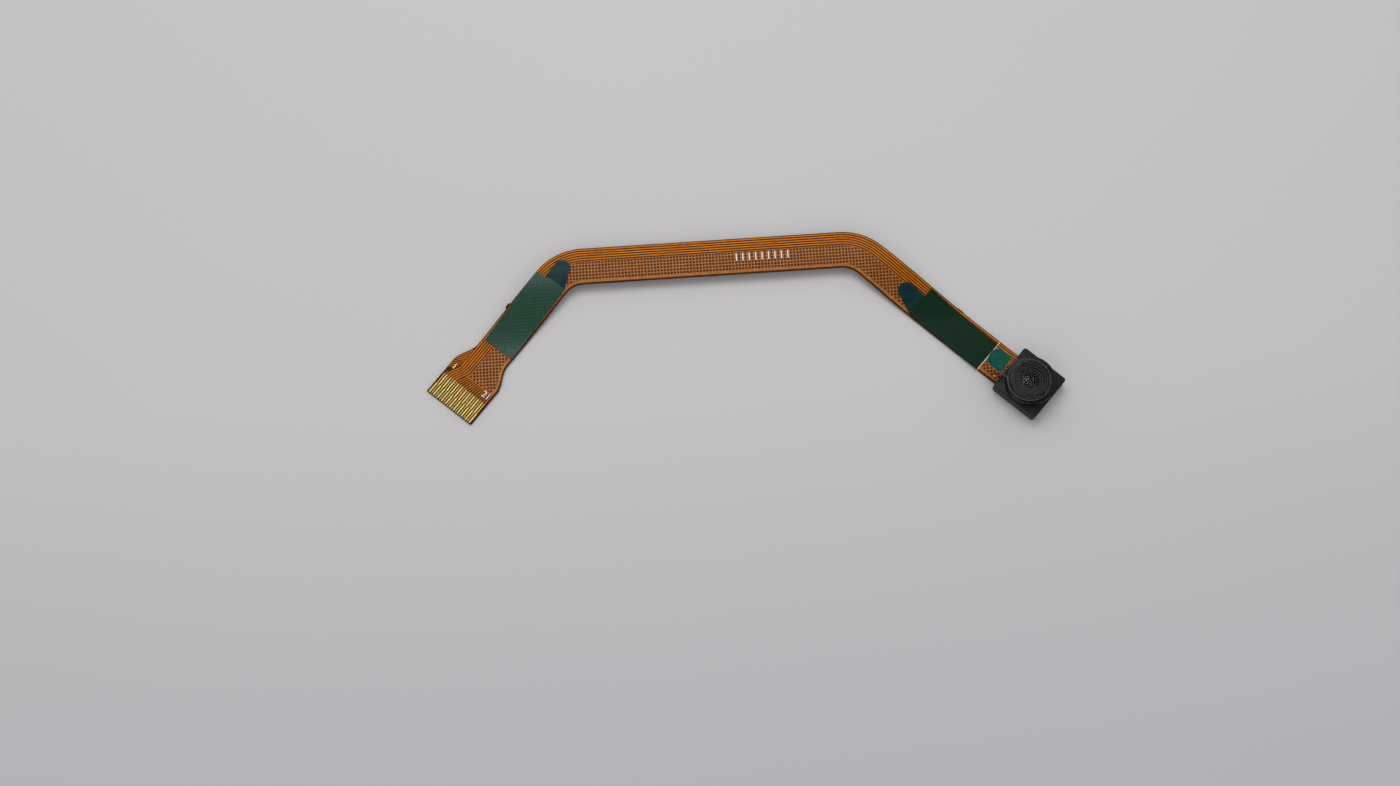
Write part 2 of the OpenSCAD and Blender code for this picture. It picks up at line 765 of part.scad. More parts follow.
// Clear disc over the lens with its neck, cut from one sheet
module lens_film() {
    half_open = asin(neck_w / film_d);
    disc = [for (i = [0:FILM_STEPS]) let (a = 180 - half_open - (360 - 2 * half_open) * i / FILM_STEPS)
        [film_d / 2 * cos(a), film_d / 2 * sin(a)]];
    color([0.85, 0.88, 0.9, 0.5])
    on_head() translate([0, -film_shift, 0]) rotate([0, 0, film_turn]) translate([0, 0, z_barrel_top]) linear_extrude(film_t)
        polygon(concat(disc, neck_end(neck_w, neck_reach, neck_corner)));
}

module film_tab() {
    reach = neck_reach - tab_margin;
    w = neck_w - 2 * tab_margin;
    color([0.05, 0.55, 0.4])
    on_head() translate([0, -film_shift, 0]) rotate([0, 0, film_turn]) translate([0, 0, z_barrel_top + film_t]) linear_extrude(tab_t)
        polygon(concat([[tab_l - reach, w / 2], [tab_l - reach, -w / 2]],
                       neck_end(w, reach, neck_corner - tab_margin)));
}

tail_stiffener();
head_stiffener();
back_coverlay();
back_traces();
core_film();
signal_traces();
ground_mesh();
contacts();
coverlay();
left_tape();
left_liner();
right_tape();
right_liner();
solder_balls();
sensor_die();
sensor_dam();
sensor_glass();
chip_capacitors();
capacitor_ends();
holder_glue();
lens_holder();
infrared_filter();
lens_barrel();
front_lens();
front_stop();
middle_lens();
rear_stop();
rear_lens();
lens_retainer();
lens_film();
film_tab();
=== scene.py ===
"""Looks of a small camera module: a flexible circuit with a contact tail and a camera head."""

import logging
import math
from collections.abc import Callable, Sequence
from dataclasses import dataclass
from enum import Enum

import bpy
import numpy as np
from mathutils import Matrix, Vector
from mathutils.geometry import delaunay_2d_cdt

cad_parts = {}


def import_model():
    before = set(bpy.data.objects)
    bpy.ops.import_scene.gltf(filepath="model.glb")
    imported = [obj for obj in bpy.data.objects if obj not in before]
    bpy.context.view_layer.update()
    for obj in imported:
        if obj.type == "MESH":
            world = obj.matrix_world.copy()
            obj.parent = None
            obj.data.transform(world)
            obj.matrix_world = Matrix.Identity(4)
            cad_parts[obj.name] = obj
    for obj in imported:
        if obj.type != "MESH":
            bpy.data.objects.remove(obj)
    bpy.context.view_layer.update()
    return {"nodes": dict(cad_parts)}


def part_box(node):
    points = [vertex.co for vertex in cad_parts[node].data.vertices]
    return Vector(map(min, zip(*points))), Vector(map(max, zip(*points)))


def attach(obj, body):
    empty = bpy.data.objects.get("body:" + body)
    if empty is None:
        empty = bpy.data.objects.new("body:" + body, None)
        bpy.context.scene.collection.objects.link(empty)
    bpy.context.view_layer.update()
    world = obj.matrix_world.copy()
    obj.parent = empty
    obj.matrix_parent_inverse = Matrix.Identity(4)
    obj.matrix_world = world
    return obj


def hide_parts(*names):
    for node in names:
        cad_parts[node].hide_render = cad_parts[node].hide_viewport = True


LOG = logging.getLogger("camera_module")
MM = 0.001  # metres in a millimetre
FILM_T = 0.03  # a coverlay's thickness in millimetres
NOISE = (0.3, 0.7)  # what nearly all of a noise lies between
SAME_PLACE = 1e-5  # points of a plan closer than this become one
THINNEST_CELL = 1e-9  # twice the area below which a cell of a plan is dropped
Point = tuple[float, float]
Spot = tuple[float, float, float]
Loop = list[Point]
Span = tuple[float, float]
Colour = tuple[float, float, float]
Lift = Callable[[float, float], float]
Arm = Callable[[float, float], Point]
Cut = tuple[Point, Point]
Socket = bpy.types.NodeSocket


def linear(colour: Colour) -> tuple[float, float, float, float]:
    """Turns a colour in 0 to 255 display values into the linear values that shaders use.

    Args:
        colour: Red, green and blue, each 0 to 255.

    Returns:
        Linear red, green, blue and an alpha of 1.
    """
    parts = [c / 255 for c in colour]
    return (*(c / 12.92 if c <= 0.04045 else ((c + 0.055) / 1.055) ** 2.4 for c in parts), 1.0)


def ease(u: float) -> float:
    """Smooth step from 0 to 1."""
    v = max(0.0, min(1.0, u))
    return v * v * (3 - 2 * v)


def flat(x: float, y: float) -> float:
    """No lift at any place."""
    return 0.0


def steps(start: float, end: float, pitch: float) -> list[float]:
    """Evenly spaced stations from start to end, at about the pitch given.

    Args:
        start: First station.
        end: Last station.
        pitch: Largest distance between stations.

    Returns:
        The stations, both ends among them.
    """
    count = max(1, math.ceil(abs(end - start) / pitch))
    return [start + (end - start) * i / count for i in range(count + 1)]


def arc(centre: Point, radius: float, start: float, turn: float, count: int) -> Loop:
    """Points along an arc.

    Args:
        centre: Its centre.
        radius: Its radius.
        start: Direction of its first point from the centre, in degrees.
        turn: How far it goes round, in degrees, counterclockwise above 0.
        count: Segments of the arc.

    Returns:
        The points, both ends among them.
    """
    angles = [math.radians(start + turn * i / count) for i in range(count + 1)]
    return [(centre[0] + radius * math.cos(a), centre[1] + radius * math.sin(a)) for a in angles]


def rectangle(x0: float, x1: float, y0: float, y1: float) -> Loop:
    """Outline of a rectangle, counterclockwise."""
    return [(x0, y0), (x1, y0), (x1, y1), (x0, y1)]


def inside(points: np.ndarray, loops: Sequence[Loop]) -> np.ndarray:
    """Tells which points lie inside a set of loops, by the even-odd rule.

    Args:
        points: One row of x and y a point.
        loops: Closed outlines; a loop inside another is a hole.

    Returns:
        One truth value a point.
    """
    odd = np.zeros(len(points), bool)
    for loop in loops:
        a = np.array(loop)
        b = np.roll(a, -1, axis=0)
        for (ax, ay), (bx, by) in zip(a, b):
            if ay != by:
                crosses = (ay > points[:, 1]) != (by > points[:, 1])
                odd ^= crosses & (points[:, 0] < ax + (points[:, 1] - ay) * (bx - ax) / (by - ay))
    return odd


def round_rect(length: float, width: float, radius: float, corner_steps: int = 6) -> Loop:
    """Outline of a rectangle with round corners, centred on 0, 0.

    Args:
        length: Size along x.
        width: Size along y.
        radius: Corner radius.
        corner_steps: Segments a corner.

    Returns:
        The outline, counterclockwise.
    """
    loop = []
    for quarter, (sx, sy) in enumerate([(1, 1), (-1, 1), (-1, -1), (1, -1)]):
        centre = sx * (length / 2 - radius), sy * (width / 2 - radius)
        loop += arc(centre, radius, 90 * quarter, 90, corner_steps)
    return loop


def low_of(node: str) -> float:
    """Height of a node's lowest point, in millimetres."""
    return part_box(node)[0].z / MM


def cover_top() -> float:
    """Height of the upper coverlay's face where the ribbon lies flat, in millimetres."""
    return low_of("coverlay") + FILM_T


def add_object(name: str, data: bpy.types.ID) -> bpy.types.Object:
    """Makes an object of a mesh, curve, light or camera and links it to the scene.

    Args:
        name: The object's name.
        data: What it shows.

    Returns:
        The object.
    """
    made = bpy.data.objects.new(name, data)
    bpy.context.collection.objects.link(made)
    return made


class Grain(Enum):
    """How the colour of a finish varies over its surface."""

    CLOUDY = "cloudy"
    SPECKLED = "speckled"
    BRUSHED = "brushed"
    # Painted shade: darker towards -y, standing in for the key light falling off across the table.
    SLOPED = "sloped"
    MESHED = "meshed"


class Face(Enum):
    """Which faces a plate has."""

    BOTH = "both"
    UPPER = "upper"
    LOWER = "lower"


class Graph:
    """Builds the nodes of one material."""

    def __init__(self, name: str) -> None:
        """Starts a material with its principled shader.

        Args:
            name: The material's name.
        """
        self.material = bpy.data.materials.new(name)
        self.material.use_nodes = True
        self.tree = self.material.node_tree
        self.shader = self.tree.nodes["Principled BSDF"]
        self.place = self.tree.nodes.new("ShaderNodeTexCoord").outputs["Object"]

    def fill(self, node: bpy.types.Node, inputs: dict[str | int, object]) -> None:
        """Fills inputs of a node.

        Args:
            node: The node.
            inputs: A value or an output socket for each input, by its name or number.
        """
        for key, value in inputs.items():
            if isinstance(value, Socket):
                self.tree.links.new(value, node.inputs[key])
            else:
                node.inputs[key].default_value = value

    def node(self, kind: str, inputs: dict[str | int, object]) -> bpy.types.Node:
        """Adds a node and fills its inputs.

        Args:
            kind: The node's type name.
            inputs: A value or an output socket for each input, by its name or number.

        Returns:
            The new node.
        """
        made = self.tree.nodes.new(kind)
        self.fill(made, inputs)
        return made

    def compute(self, operation: str, *values: Socket | float) -> Socket:
        """Result of an operation on values or sockets.

        Args:
            operation: The operation's name.
            values: What it works on.

        Returns:
            The result.
        """
        made = self.node("ShaderNodeMath", dict(enumerate(values)))
        made.operation = operation
        return made.outputs[0]

    def noise(self, size: float, stretch: Spot = (1, 1, 1), detail: float = 4.0) -> Socket:
        """Noise whose patches are about size across.

        Args:
            size: Patch size in millimetres.
            stretch: How many times longer the patches are along each axis.
            detail: Octaves of finer noise.

        Returns:
            The noise value, nearly all of it within NOISE.
        """
        scaled = self.node("ShaderNodeMapping", {
            "Vector": self.place, "Scale": tuple(1 / (size * MM * s) for s in stretch)})
        return self.node("ShaderNodeTexNoise", {
            "Vector": scaled.outputs["Vector"], "Scale": 1.0, "Detail": detail}).outputs["Fac"]

    def grid(self, pitch: float) -> Socket:
        """Square pattern of soft dots in plan.

        Args:
            pitch: Distance between the dots in millimetres.

        Returns:
            A value from one end of NOISE at the dots to the other between them.
        """
        total: Socket | float = sum(NOISE) / 2
        swing = (NOISE[1] - NOISE[0]) / 4
        apart = self.node("ShaderNodeSeparateXYZ", {"Vector": self.place})
        for axis in ("X", "Y"):
            angle = self.compute("MULTIPLY", apart.outputs[axis], 2 * math.pi / (pitch * MM))
            total = self.compute("MULTIPLY_ADD", self.compute("SINE", angle), swing, total)
        return total

    def ramp(self, value: Socket, dark: Colour, light: Colour) -> Socket:
        """Turns a value within NOISE into a colour between two shades.

        Args:
            value: The value to read.
            dark: The shade at the low end, in display values.
            light: The shade at the high end.

        Returns:
            The colour.
        """
        made = self.node("ShaderNodeValToRGB", {"Fac": value})
        for stop, at, colour in zip(made.color_ramp.elements, NOISE, (dark, light)):
            stop.position = at
            stop.color = linear(colour)
        return made.outputs["Color"]

    def spread(self, value: Socket, start: Span, end: Span) -> Socket:
        """Maps a value from one range to another.

        Args:
            value: The value.
            start: Ends of the range that it comes from.
            end: Ends of the range that it goes to.

        Returns:
            The mapped value.
        """
        return self.node("ShaderNodeMapRange", {
            "Value": value, "From Min": start[0], "From Max": start[1],
            "To Min": end[0], "To Max": end[1]}).outputs["Result"]

    def bump(self, height: Socket, depth: float) -> Socket:
        """Relief of a given depth in millimetres, as a normal.

        Args:
            height: Height between 0 and 1.
            depth: Height of the full relief in millimetres.

        Returns:
            The bumped normal.
        """
        return self.node("ShaderNodeBump", {
            "Height": height, "Strength": 1.0, "Distance": depth * MM}).outputs["Normal"]


@dataclass(frozen=True)
class Finish:
    """A surface finish: two shades that vary by a grain, gloss and relief."""

    name: str
    light: Colour
    dark: Colour
    grain: Grain = Grain.CLOUDY
    grain_size: float = 0.8
    rough: Span = (0.4, 0.5)
    relief: float = 0.0
    relief_size: float = 0.05
    metallic: float = 0.0
    alpha: float = 1.0
    clear: float = 0.0
    ior: float = 1.5
    specular: float = 0.5
    gloss_scale: float = 1.7
    # Used only by the painted falloff: the floor's painted shade reaches its light end at y =
    # -slope_end * grain_size.
    slope_end: float = 0.1

    def pattern(self, graph: Graph) -> Socket:
        """The value that the two shades are mixed by.

        Args:
            graph: The material in the making.

        Returns:
            A value within NOISE.
        """
        if self.grain is Grain.SPECKLED:
            return graph.noise(self.grain_size, detail=8.0)
        if self.grain is Grain.BRUSHED:
            return graph.noise(self.grain_size, stretch=(9, 1, 1), detail=6.0)
        # Painted shade: dark at y = -grain_size, light from y = -slope_end * grain_size on,
        # standing in for the key light falling off towards the front.
        if self.grain is Grain.SLOPED:
            depth = graph.node("ShaderNodeSeparateXYZ", {"Vector": graph.place}).outputs["Y"]
            slope = -self.grain_size * MM, -self.slope_end * self.grain_size * MM
            return graph.spread(depth, slope, NOISE)
        if self.grain is Grain.MESHED:
            return graph.grid(self.grain_size)
        return graph.noise(self.grain_size)

    def material(self) -> bpy.types.Material:
        """Makes the material of this finish, or finds it if it is already made.

        Returns:
            The material.
        """
        known = bpy.data.materials.get(self.name)
        if known is not None:
            return known
        graph = Graph(self.name)
        shades = graph.ramp(self.pattern(graph), self.dark, self.light)
        gloss = graph.spread(graph.noise(self.grain_size * self.gloss_scale), NOISE, self.rough)
        graph.fill(graph.shader, {
            "Base Color": shades, "Roughness": gloss, "Metallic": self.metallic,
            "Alpha": self.alpha, "Transmission Weight": self.clear, "IOR": self.ior,
            "Specular IOR Level": self.specular})
        if self.relief:
            height = graph.noise(self.relief_size, detail=3.0)
            graph.fill(graph.shader, {"Normal": graph.bump(height, self.relief)})
        return graph.material


class Finishes:
    """The finishes of the module's pieces."""

    COVERLAY = Finish(
        "amber_coverlay", (186, 104, 2), (164, 84, 0), grain_size=1.6, rough=(0.24, 0.34),
        relief=0.0015, relief_size=0.35, alpha=0.1, specular=0.12)
    # Core film: darker than amber polyimide, partly for the back copper seen through it and partly
    # as painted shade in the holes of the hatch.
    CORE = Finish(
        "core_and_painted_hole_shade", (52, 14, 0), (34, 8, 0), grain_size=1.2, relief=0.001, specular=0.05)
    COPPER = Finish(
        "copper_foil", (200, 118, 10), (176, 98, 2), grain_size=0.5, rough=(0.36, 0.48),
        relief=0.0012, relief_size=0.06, metallic=0.15, specular=0.12)
    # Copper of the hatch: copper's own colour with a painted sheen, paler and bluer than the copper
    # of the traces.
    COPPER_HATCH_WITH_SHEEN = Finish(
        "copper_hatch_with_painted_sheen", (166, 108, 56), (138, 84, 38), grain_size=0.5, rough=(0.36, 0.48),
        relief=0.0012, relief_size=0.06, metallic=0.15, specular=0.2)
    VIA = Finish(
        "bright_via", (226, 170, 130), (196, 130, 96), grain_size=0.1, rough=(0.3, 0.4),
        metallic=0.3)
    GOLD = Finish(
        "gold_plating", (204, 176, 92), (170, 142, 58), Grain.BRUSHED, grain_size=0.06,
        rough=(0.26, 0.4), relief=0.0015, metallic=0.3)
    TAIL_BOARD = Finish(
        "tail_stiffener_film", (70, 42, 16), (44, 24, 8), grain_size=0.7, rough=(0.4, 0.55),
        relief=0.002)
    STEEL = Finish(
        "brushed_steel", (178, 178, 176), (140, 140, 140), Grain.BRUSHED, grain_size=0.08,
        rough=(0.3, 0.42), relief=0.002, metallic=0.9)
    # The two liner finishes are one green film in two copies: the left one lighter with a painted
    # sheen, the right one darker with painted shade.
    LINER = Finish(
        "green_release_liner", (26, 76, 60), (2, 50, 38), Grain.MESHED, grain_size=0.383,
        rough=(0.22, 0.34), relief=0.003, relief_size=0.9, alpha=0.84, specular=0.2)
    SHADED_LINER = Finish(
        "shaded_green_release_liner", (2, 52, 36), (0, 26, 14), Grain.MESHED, grain_size=0.383,
        rough=(0.22, 0.34), relief=0.003, relief_size=0.9, alpha=0.86, specular=0.05)
    TONGUE = Finish(
        "teal_tongue_film", (0, 52, 56), (0, 34, 38), grain_size=1.2, rough=(0.22, 0.34),
        relief=0.003, relief_size=0.6, alpha=0.9, specular=0.08)
    TAPE = Finish(
        "clear_tape", (150, 160, 110), (120, 130, 80), grain_size=0.5, rough=(0.3, 0.5),
        relief=0.003, relief_size=0.2, alpha=0.16)
    INK = Finish(
        "white_print", (240, 238, 234), (216, 214, 210), Grain.SPECKLED, grain_size=0.12,
        rough=(0.5, 0.65), relief=0.002)
    PLASTIC = Finish(
        "black_moulding", (18, 17, 18), (8, 7, 8), Grain.SPECKLED, grain_size=0.16,
        rough=(0.34, 0.5), relief=0.006, relief_size=0.09, specular=0.2)
    BARREL = Finish(
        "black_barrel_moulding", (9, 10, 11), (2, 3, 4), Grain.SPECKLED, grain_size=0.12,
        rough=(0.3, 0.44), relief=0.003, relief_size=0.07, specular=0.17)
    GLUE = Finish(
        "black_glue", (24, 24, 24), (12, 12, 12), grain_size=0.2, rough=(0.3, 0.5),
        relief=0.01)
    GLASS = Finish(
        "lens_glass", (236, 242, 244), (222, 232, 236), grain_size=0.6, rough=(0.02, 0.05),
        clear=1.0, ior=1.12)
    FILTER = Finish(
        "filter_glass", (110, 160, 160), (84, 136, 140), grain_size=0.6, rough=(0.03, 0.06),
        clear=0.9, ior=1.25)
    SILICON = Finish(
        "silicon", (60, 58, 60), (40, 38, 42), grain_size=0.5, rough=(0.2, 0.3), metallic=0.2)
    SOLDER = Finish(
        "solder", (196, 196, 194), (160, 160, 160), grain_size=0.2, rough=(0.3, 0.4),
        metallic=0.9)
    CERAMIC = Finish(
        "ceramic", (150, 124, 96), (116, 92, 68), Grain.SPECKLED, grain_size=0.08,
        rough=(0.5, 0.65))
    TIN = Finish(
        "tin_ends", (204, 204, 200), (170, 170, 168), grain_size=0.1, rough=(0.3, 0.42),
        metallic=0.9)
    HAZE = Finish(
        "hazy_lens_film", (196, 200, 200), (120, 128, 130), grain_size=0.9,
        rough=(0.22, 0.36), relief=0.008, relief_size=0.7, alpha=0.011)
    HAZE_EDGE = Finish(
        "hazy_film_edge", (196, 202, 202), (150, 158, 160), grain_size=0.4, rough=(0.2, 0.3),
        relief=0.003, relief_size=0.3, alpha=0.06)
    TAB = Finish(
        "emerald_pull_tab", (2, 80, 68), (0, 58, 50), grain_size=0.9, rough=(0.26, 0.38),
        relief=0.008, relief_size=0.6, specular=0.08)
    # Pale table with painted shade: darker towards the front, where the key light falls off.
    FLOOR = Finish(
        "pale_table_painted_falloff", (195, 193, 194), (184, 183, 186), Grain.SLOPED, grain_size=50.0,
        rough=(0.7, 0.85), relief=0.004, relief_size=0.6)


NODE_FINISHES: dict[str, Finish] = {
    "tail_stiffener": Finishes.TAIL_BOARD,
    "head_stiffener": Finishes.STEEL,
    "back_traces": Finishes.COPPER,
    "signal_traces": Finishes.COPPER,
    "solder_balls": Finishes.SOLDER,
    "sensor_die": Finishes.SILICON,
    "sensor_dam": Finishes.BARREL,
    "sensor_glass": Finishes.GLASS,
    "chip_capacitors": Finishes.CERAMIC,
    "capacitor_ends": Finishes.TIN,
    "holder_glue": Finishes.GLUE,
    "infrared_filter": Finishes.FILTER,
    "front_stop": Finishes.BARREL,
    "middle_lens": Finishes.GLASS,
    "rear_stop": Finishes.BARREL,
    "rear_lens": Finishes.GLASS,
    "lens_retainer": Finishes.BARREL,
}


class Shape:
    """Vertices and faces of one piece in the making, in millimetres."""

    def __init__(self) -> None:
        """Starts an empty shape."""
        self.points: list[Spot] = []
        self.faces: list[tuple[int, ...]] = []

    def add(self, points: Sequence[Spot], faces: Sequence[Sequence[int]]) -> None:
        """Adds a part of the shape.

        Args:
            points: Its vertices.
            faces: Its faces, counted from its own first vertex.
        """
        base = len(self.points)
        self.points += [tuple(p) for p in points]
        self.faces += [tuple(base + i for i in f) for f in faces]

    def plate(self, loops: Sequence[Loop], low: float, high: float, lift: Lift = flat,
              cuts: Sequence[Cut] = (), keep: Callable[[np.ndarray], np.ndarray] | None = None,
              face: Face = Face.BOTH) -> None:
        """Adds a thin plate of any outline whose height may vary over it.

        Args:
            loops: Its outline and holes.
            low: Height of its lower face before the lift.
            high: Height of its upper face before the lift.
            lift: How far each place is raised.
            cuts: Lines along which its faces are cut, so that they can follow the lift.
            keep: Tells which points of the plan are plate; without it, those inside the loops.
            face: Which faces it has beside its edges; a see-through film has only the open one.
        """
        plan: list[Vector] = []
        edges: list[tuple[int, int]] = []
        for loop in loops:
            base = len(plan)
            plan += [Vector(p) for p in loop]
            edges += [(base + i, base + (i + 1) % len(loop)) for i in range(len(loop))]
        for a, b in cuts:
            edges.append((len(plan), len(plan) + 1))
            plan += [Vector(a), Vector(b)]
        found, _, cells, *_ = delaunay_2d_cdt(plan, edges, [], 0, SAME_PLACE)
        xy = np.array([tuple(p) for p in found])
        cells = np.array([tuple(c) for c in cells])
        middles = xy[cells].mean(axis=1)
        cells = cells[keep(middles) if keep else inside(middles, loops)]
        corner = xy[cells]
        sides = corner[:, 1] - corner[:, 0], corner[:, 2] - corner[:, 0]
        area = sides[0][:, 0] * sides[1][:, 1] - sides[0][:, 1] * sides[1][:, 0]
        cells = cells[np.abs(area) > THINNEST_CELL]
        area = area[np.abs(area) > THINNEST_CELL]
        cells[area < 0] = cells[area < 0][:, ::-1]
        used, cells = np.unique(cells, return_inverse=True)
        cells = cells.reshape(-1, 3)
        count = len(used)
        raised = [(x, y, lift(x, y)) for x, y in xy[used]]
        points = [(x, y, high + z) for x, y, z in raised] + [(x, y, low + z) for x, y, z in raised]
        faces = [tuple(c) for c in cells] if face is not Face.LOWER else []
        faces += [tuple(c[::-1] + count) for c in cells] if face is not Face.UPPER else []
        sides_seen = {(c[i], c[(i + 1) % 3]) for c in cells.tolist() for i in range(3)}
        faces += [(b, a, a + count, b + count) for a, b in sides_seen if (b, a) not in sides_seen]
        self.add(points, [[int(i) for i in f] for f in faces])

    def loft(self, rings: Sequence[Sequence[Spot]], capped: bool = True) -> None:
        """Adds a skin over rings of the same number of points.

        Args:
            rings: The rings from the bottom up, each counterclockwise.
            capped: Whether the first and last ring are closed by a face.
        """
        n = len(rings[0])
        faces = [[r * n + i, r * n + (i + 1) % n, (r + 1) * n + (i + 1) % n, (r + 1) * n + i]
                 for r in range(len(rings) - 1) for i in range(n)]
        if capped:
            faces += [list(range(n))[::-1], [(len(rings) - 1) * n + i for i in range(n)]]
        self.add([p for ring in rings for p in ring], faces)

    def revolve(self, profile: Sequence[Point], axis: Point, segments: int = 128) -> None:
        """Adds a closed profile turned about an upright axis.

        Args:
            profile: Radii and heights, with the body on the left as the points are followed.
            axis: Place of the axis in the plan.
            segments: Segments of the full turn.
        """
        n = len(profile)
        points, faces = [], []
        for i in range(segments):
            a = 2 * math.pi * i / segments
            points += [(axis[0] + r * math.cos(a), axis[1] + r * math.sin(a), z)
                       for r, z in profile]
            j = (i + 1) % segments
            faces += [[i * n + k, j * n + k, j * n + (k + 1) % n, i * n + (k + 1) % n]
                      for k in range(n)]
        self.add(points, faces)

    def piece(self, name: str, finish: Finish, slot: str, replaces: Sequence[str] = (),
              soft_angle: float = 32.0, finishes: Sequence[Finish] = (),
              chooser: Callable[[Vector], int] | None = None) -> bpy.types.Object:
        """Makes the object of this shape and lets it ride on the frame.

        Args:
            name: The piece's name.
            finish: Its finish.
            slot: The record's material slot that it stands for; not used.
            replaces: Nodes of the frame that it stands for.
            soft_angle: Edges that turn less than this many degrees look smooth.
            finishes: Further finishes for some of its faces.
            chooser: Tells which finish a face with that centre gets, in millimetres.

        Returns:
            The object.
        """
        mesh = bpy.data.meshes.new(name)
        mesh.from_pydata([tuple(c * MM for c in p) for p in self.points], [], self.faces)
        mesh.validate()
        for each in (finish, *finishes):
            mesh.materials.append(each.material())
        if chooser is not None:
            for face in mesh.polygons:
                face.material_index = chooser(face.center / MM)
        mesh.set_sharp_from_angle(angle=math.radians(soft_angle))
        made = add_object(name, mesh)
        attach(made, "root")
        if replaces:
            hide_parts(*replaces)
        LOG.info("%s: %d faces", name, len(mesh.polygons))
        return made


@dataclass(frozen=True)
class Route:
    """Centre line of the ribbon and the places on it, in millimetres."""

    left_corner: Point
    middle_run: float = 34.6
    left_turn: float = 48.0
    right_turn: float = 44.0
    bend_radius: float = 5.0
    left_arm: float = 21.2
    right_arm: float = 25.6
    width: float = 4.4
    tail_w: float = 6.6
    tail_l: float = 4.8
    flare_l: float = 3.2
    stiffener_l: float = 5.2
    head_size: float = 6.0
    head_corner: float = 0.3
    arch_h: float = 1.2
    arch_rise: float = 9.0
    arch_clear: float = 0.2
    left_stub: Span = (7.6, 0.2)
    right_stub: Span = (14.0, 0.06)
    stub_l: float = 0.9
    pad: float = 5.65
    bend_steps: int = 32
    edge_pitch: float = 0.25
    bend_overlap: float = 0.2
    cut_pitch: float = 0.36
    cut_past: Span = (20.0, 28.0)

    @classmethod
    def from_frame(cls) -> "Route":
        """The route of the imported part, placed by its camera head.

        Returns:
            The route, whose right arm ends on the lens axis.
        """
        low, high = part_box("lens_holder")
        axis = (low + high) / 2 / MM
        turn = math.radians(cls.right_turn)
        return cls((axis.x - cls.right_arm * math.cos(turn) - cls.middle_run,
                    axis.y + cls.right_arm * math.sin(turn)))

    @property
    def flare_from(self) -> float:
        """Where the tail starts to flare, along the left arm."""
        return self.left_arm - self.tail_l - self.flare_l

    @property
    def arch_from(self) -> float:
        """Where the arch starts to rise, along y: past the tail's stiffener and the head.

        Returns:
            The place.
        """
        left, right = math.radians(self.left_turn), math.radians(self.right_turn)
        straight = self.head_size / 2 - self.head_corner
        reach = straight * (math.cos(right) + math.sin(right)) + self.head_corner
        along = self.left_arm - self.stiffener_l
        tail = -along * math.sin(left) + self.tail_w / 2 * math.cos(left)
        head = reach - self.right_arm * math.sin(right)
        return self.left_corner[1] + self.arch_clear + max(tail, head)

    def arch(self, x: float, y: float) -> float:
        """Height of the arch at a place."""
        return self.arch_h * ease((y - self.arch_from) / self.arch_rise)

    def left(self, s: float, t: float) -> Point:
        """Place on the left arm, s from its corner and t out from the centre line."""
        a = math.radians(self.left_turn)
        return (self.left_corner[0] - s * math.cos(a) - t * math.sin(a),
                self.left_corner[1] - s * math.sin(a) + t * math.cos(a))

    def right(self, s: float, t: float) -> Point:
        """Place on the right arm, s from its corner and t out from the centre line."""
        a = math.radians(self.right_turn)
        return (self.left_corner[0] + self.middle_run + s * math.cos(a) + t * math.sin(a),
                self.left_corner[1] - s * math.sin(a) + t * math.cos(a))

    def middle(self, x: float, t: float) -> Point:
        """Place on the middle run, x from the left corner."""
        return self.left_corner[0] + x, self.left_corner[1] + t

    def half_width(self, s: float) -> float:
        """Half the ribbon's width, s along the left arm."""
        flare = ease((s - self.flare_from) / self.flare_l)
        return self.width / 2 + (self.tail_w - self.width) / 2 * flare

    def bend_length(self, turn: float) -> float:
        """How far from its corner a bend ends."""
        return self.bend_radius * math.tan(math.radians(turn) / 2)

    def run_line(self, t: float) -> Loop:
        """The two bends and the middle run at an offset from the centre line.

        Args:
            t: Offset, outwards.

        Returns:
            The points from the left arm to the right one.
        """
        def bend(turn: float, x: float, hand: int) -> Loop:
            """Points of one bend, from its arm to the middle run.

            Args:
                turn: How far the ribbon turns there, in degrees.
                x: Place of its corner, from the left corner.
                hand: 1 where the middle run goes to the right from it, -1 to the left.

            Returns:
                The points.
            """
            radius, length = self.bend_radius + t, self.bend_length(turn)
            angles = [math.radians(90 + turn * (1 - i / self.bend_steps))
                      for i in range(self.bend_steps + 1)]
            return [(self.left_corner[0] + x + hand * (length + radius * math.cos(a)),
                     self.left_corner[1] - self.bend_radius + radius * math.sin(a))
                    for a in angles]

        return bend(self.left_turn, 0, 1) + bend(self.right_turn, self.middle_run, -1)[::-1]

    def line(self, offset: Callable[[float], float], left_end: float, right_end: float) -> Loop:
        """A line along the ribbon, from the tail to the head.

        Args:
            offset: Its offset from the centre line at each distance along the left arm.
            left_end: Where it starts on the left arm.
            right_end: Where it ends on the right arm.

        Returns:
            Its points.
        """
        near = self.bend_length(self.left_turn) + self.bend_overlap
        tail = [self.left(s, offset(s)) for s in steps(left_end, near, self.edge_pitch)]
        return tail + self.run_line(offset(0)) + [self.right(right_end, offset(0))]

    def band(self, outer: Callable[[float], float], inner: Callable[[float], float],
             left_end: float, right_end: float) -> Loop:
        """Outline of a band between two lines along the ribbon, drawn as line() draws them."""
        return self.line(outer, left_end, right_end) + self.line(inner, left_end, right_end)[::-1]

    def slope_cuts(self) -> list[Cut]:
        """Lines across the whole part at each step of the arch.

        Returns:
            The ends of each line.
        """
        x0 = self.left_corner[0] - self.cut_past[0]
        x1 = self.left_corner[0] + self.middle_run + self.cut_past[1]
        return [((x0, y), (x1, y))
                for y in steps(self.arch_from, self.arch_from + self.arch_rise, self.cut_pitch)]

    def stub(self, place: float, out: float) -> Loop:
        """Outline of the stub of a cut tie, on an arm's outer edge.

        Args:
            place: Where it is along the arm.
            out: How far it stands out.

        Returns:
            The places along and across the arm.
        """
        half, half_l = self.width / 2, self.stub_l / 2
        return [(place - half_l, half), (place - half_l + out, half + out),
                (place + half_l - out, half + out), (place + half_l, half)]

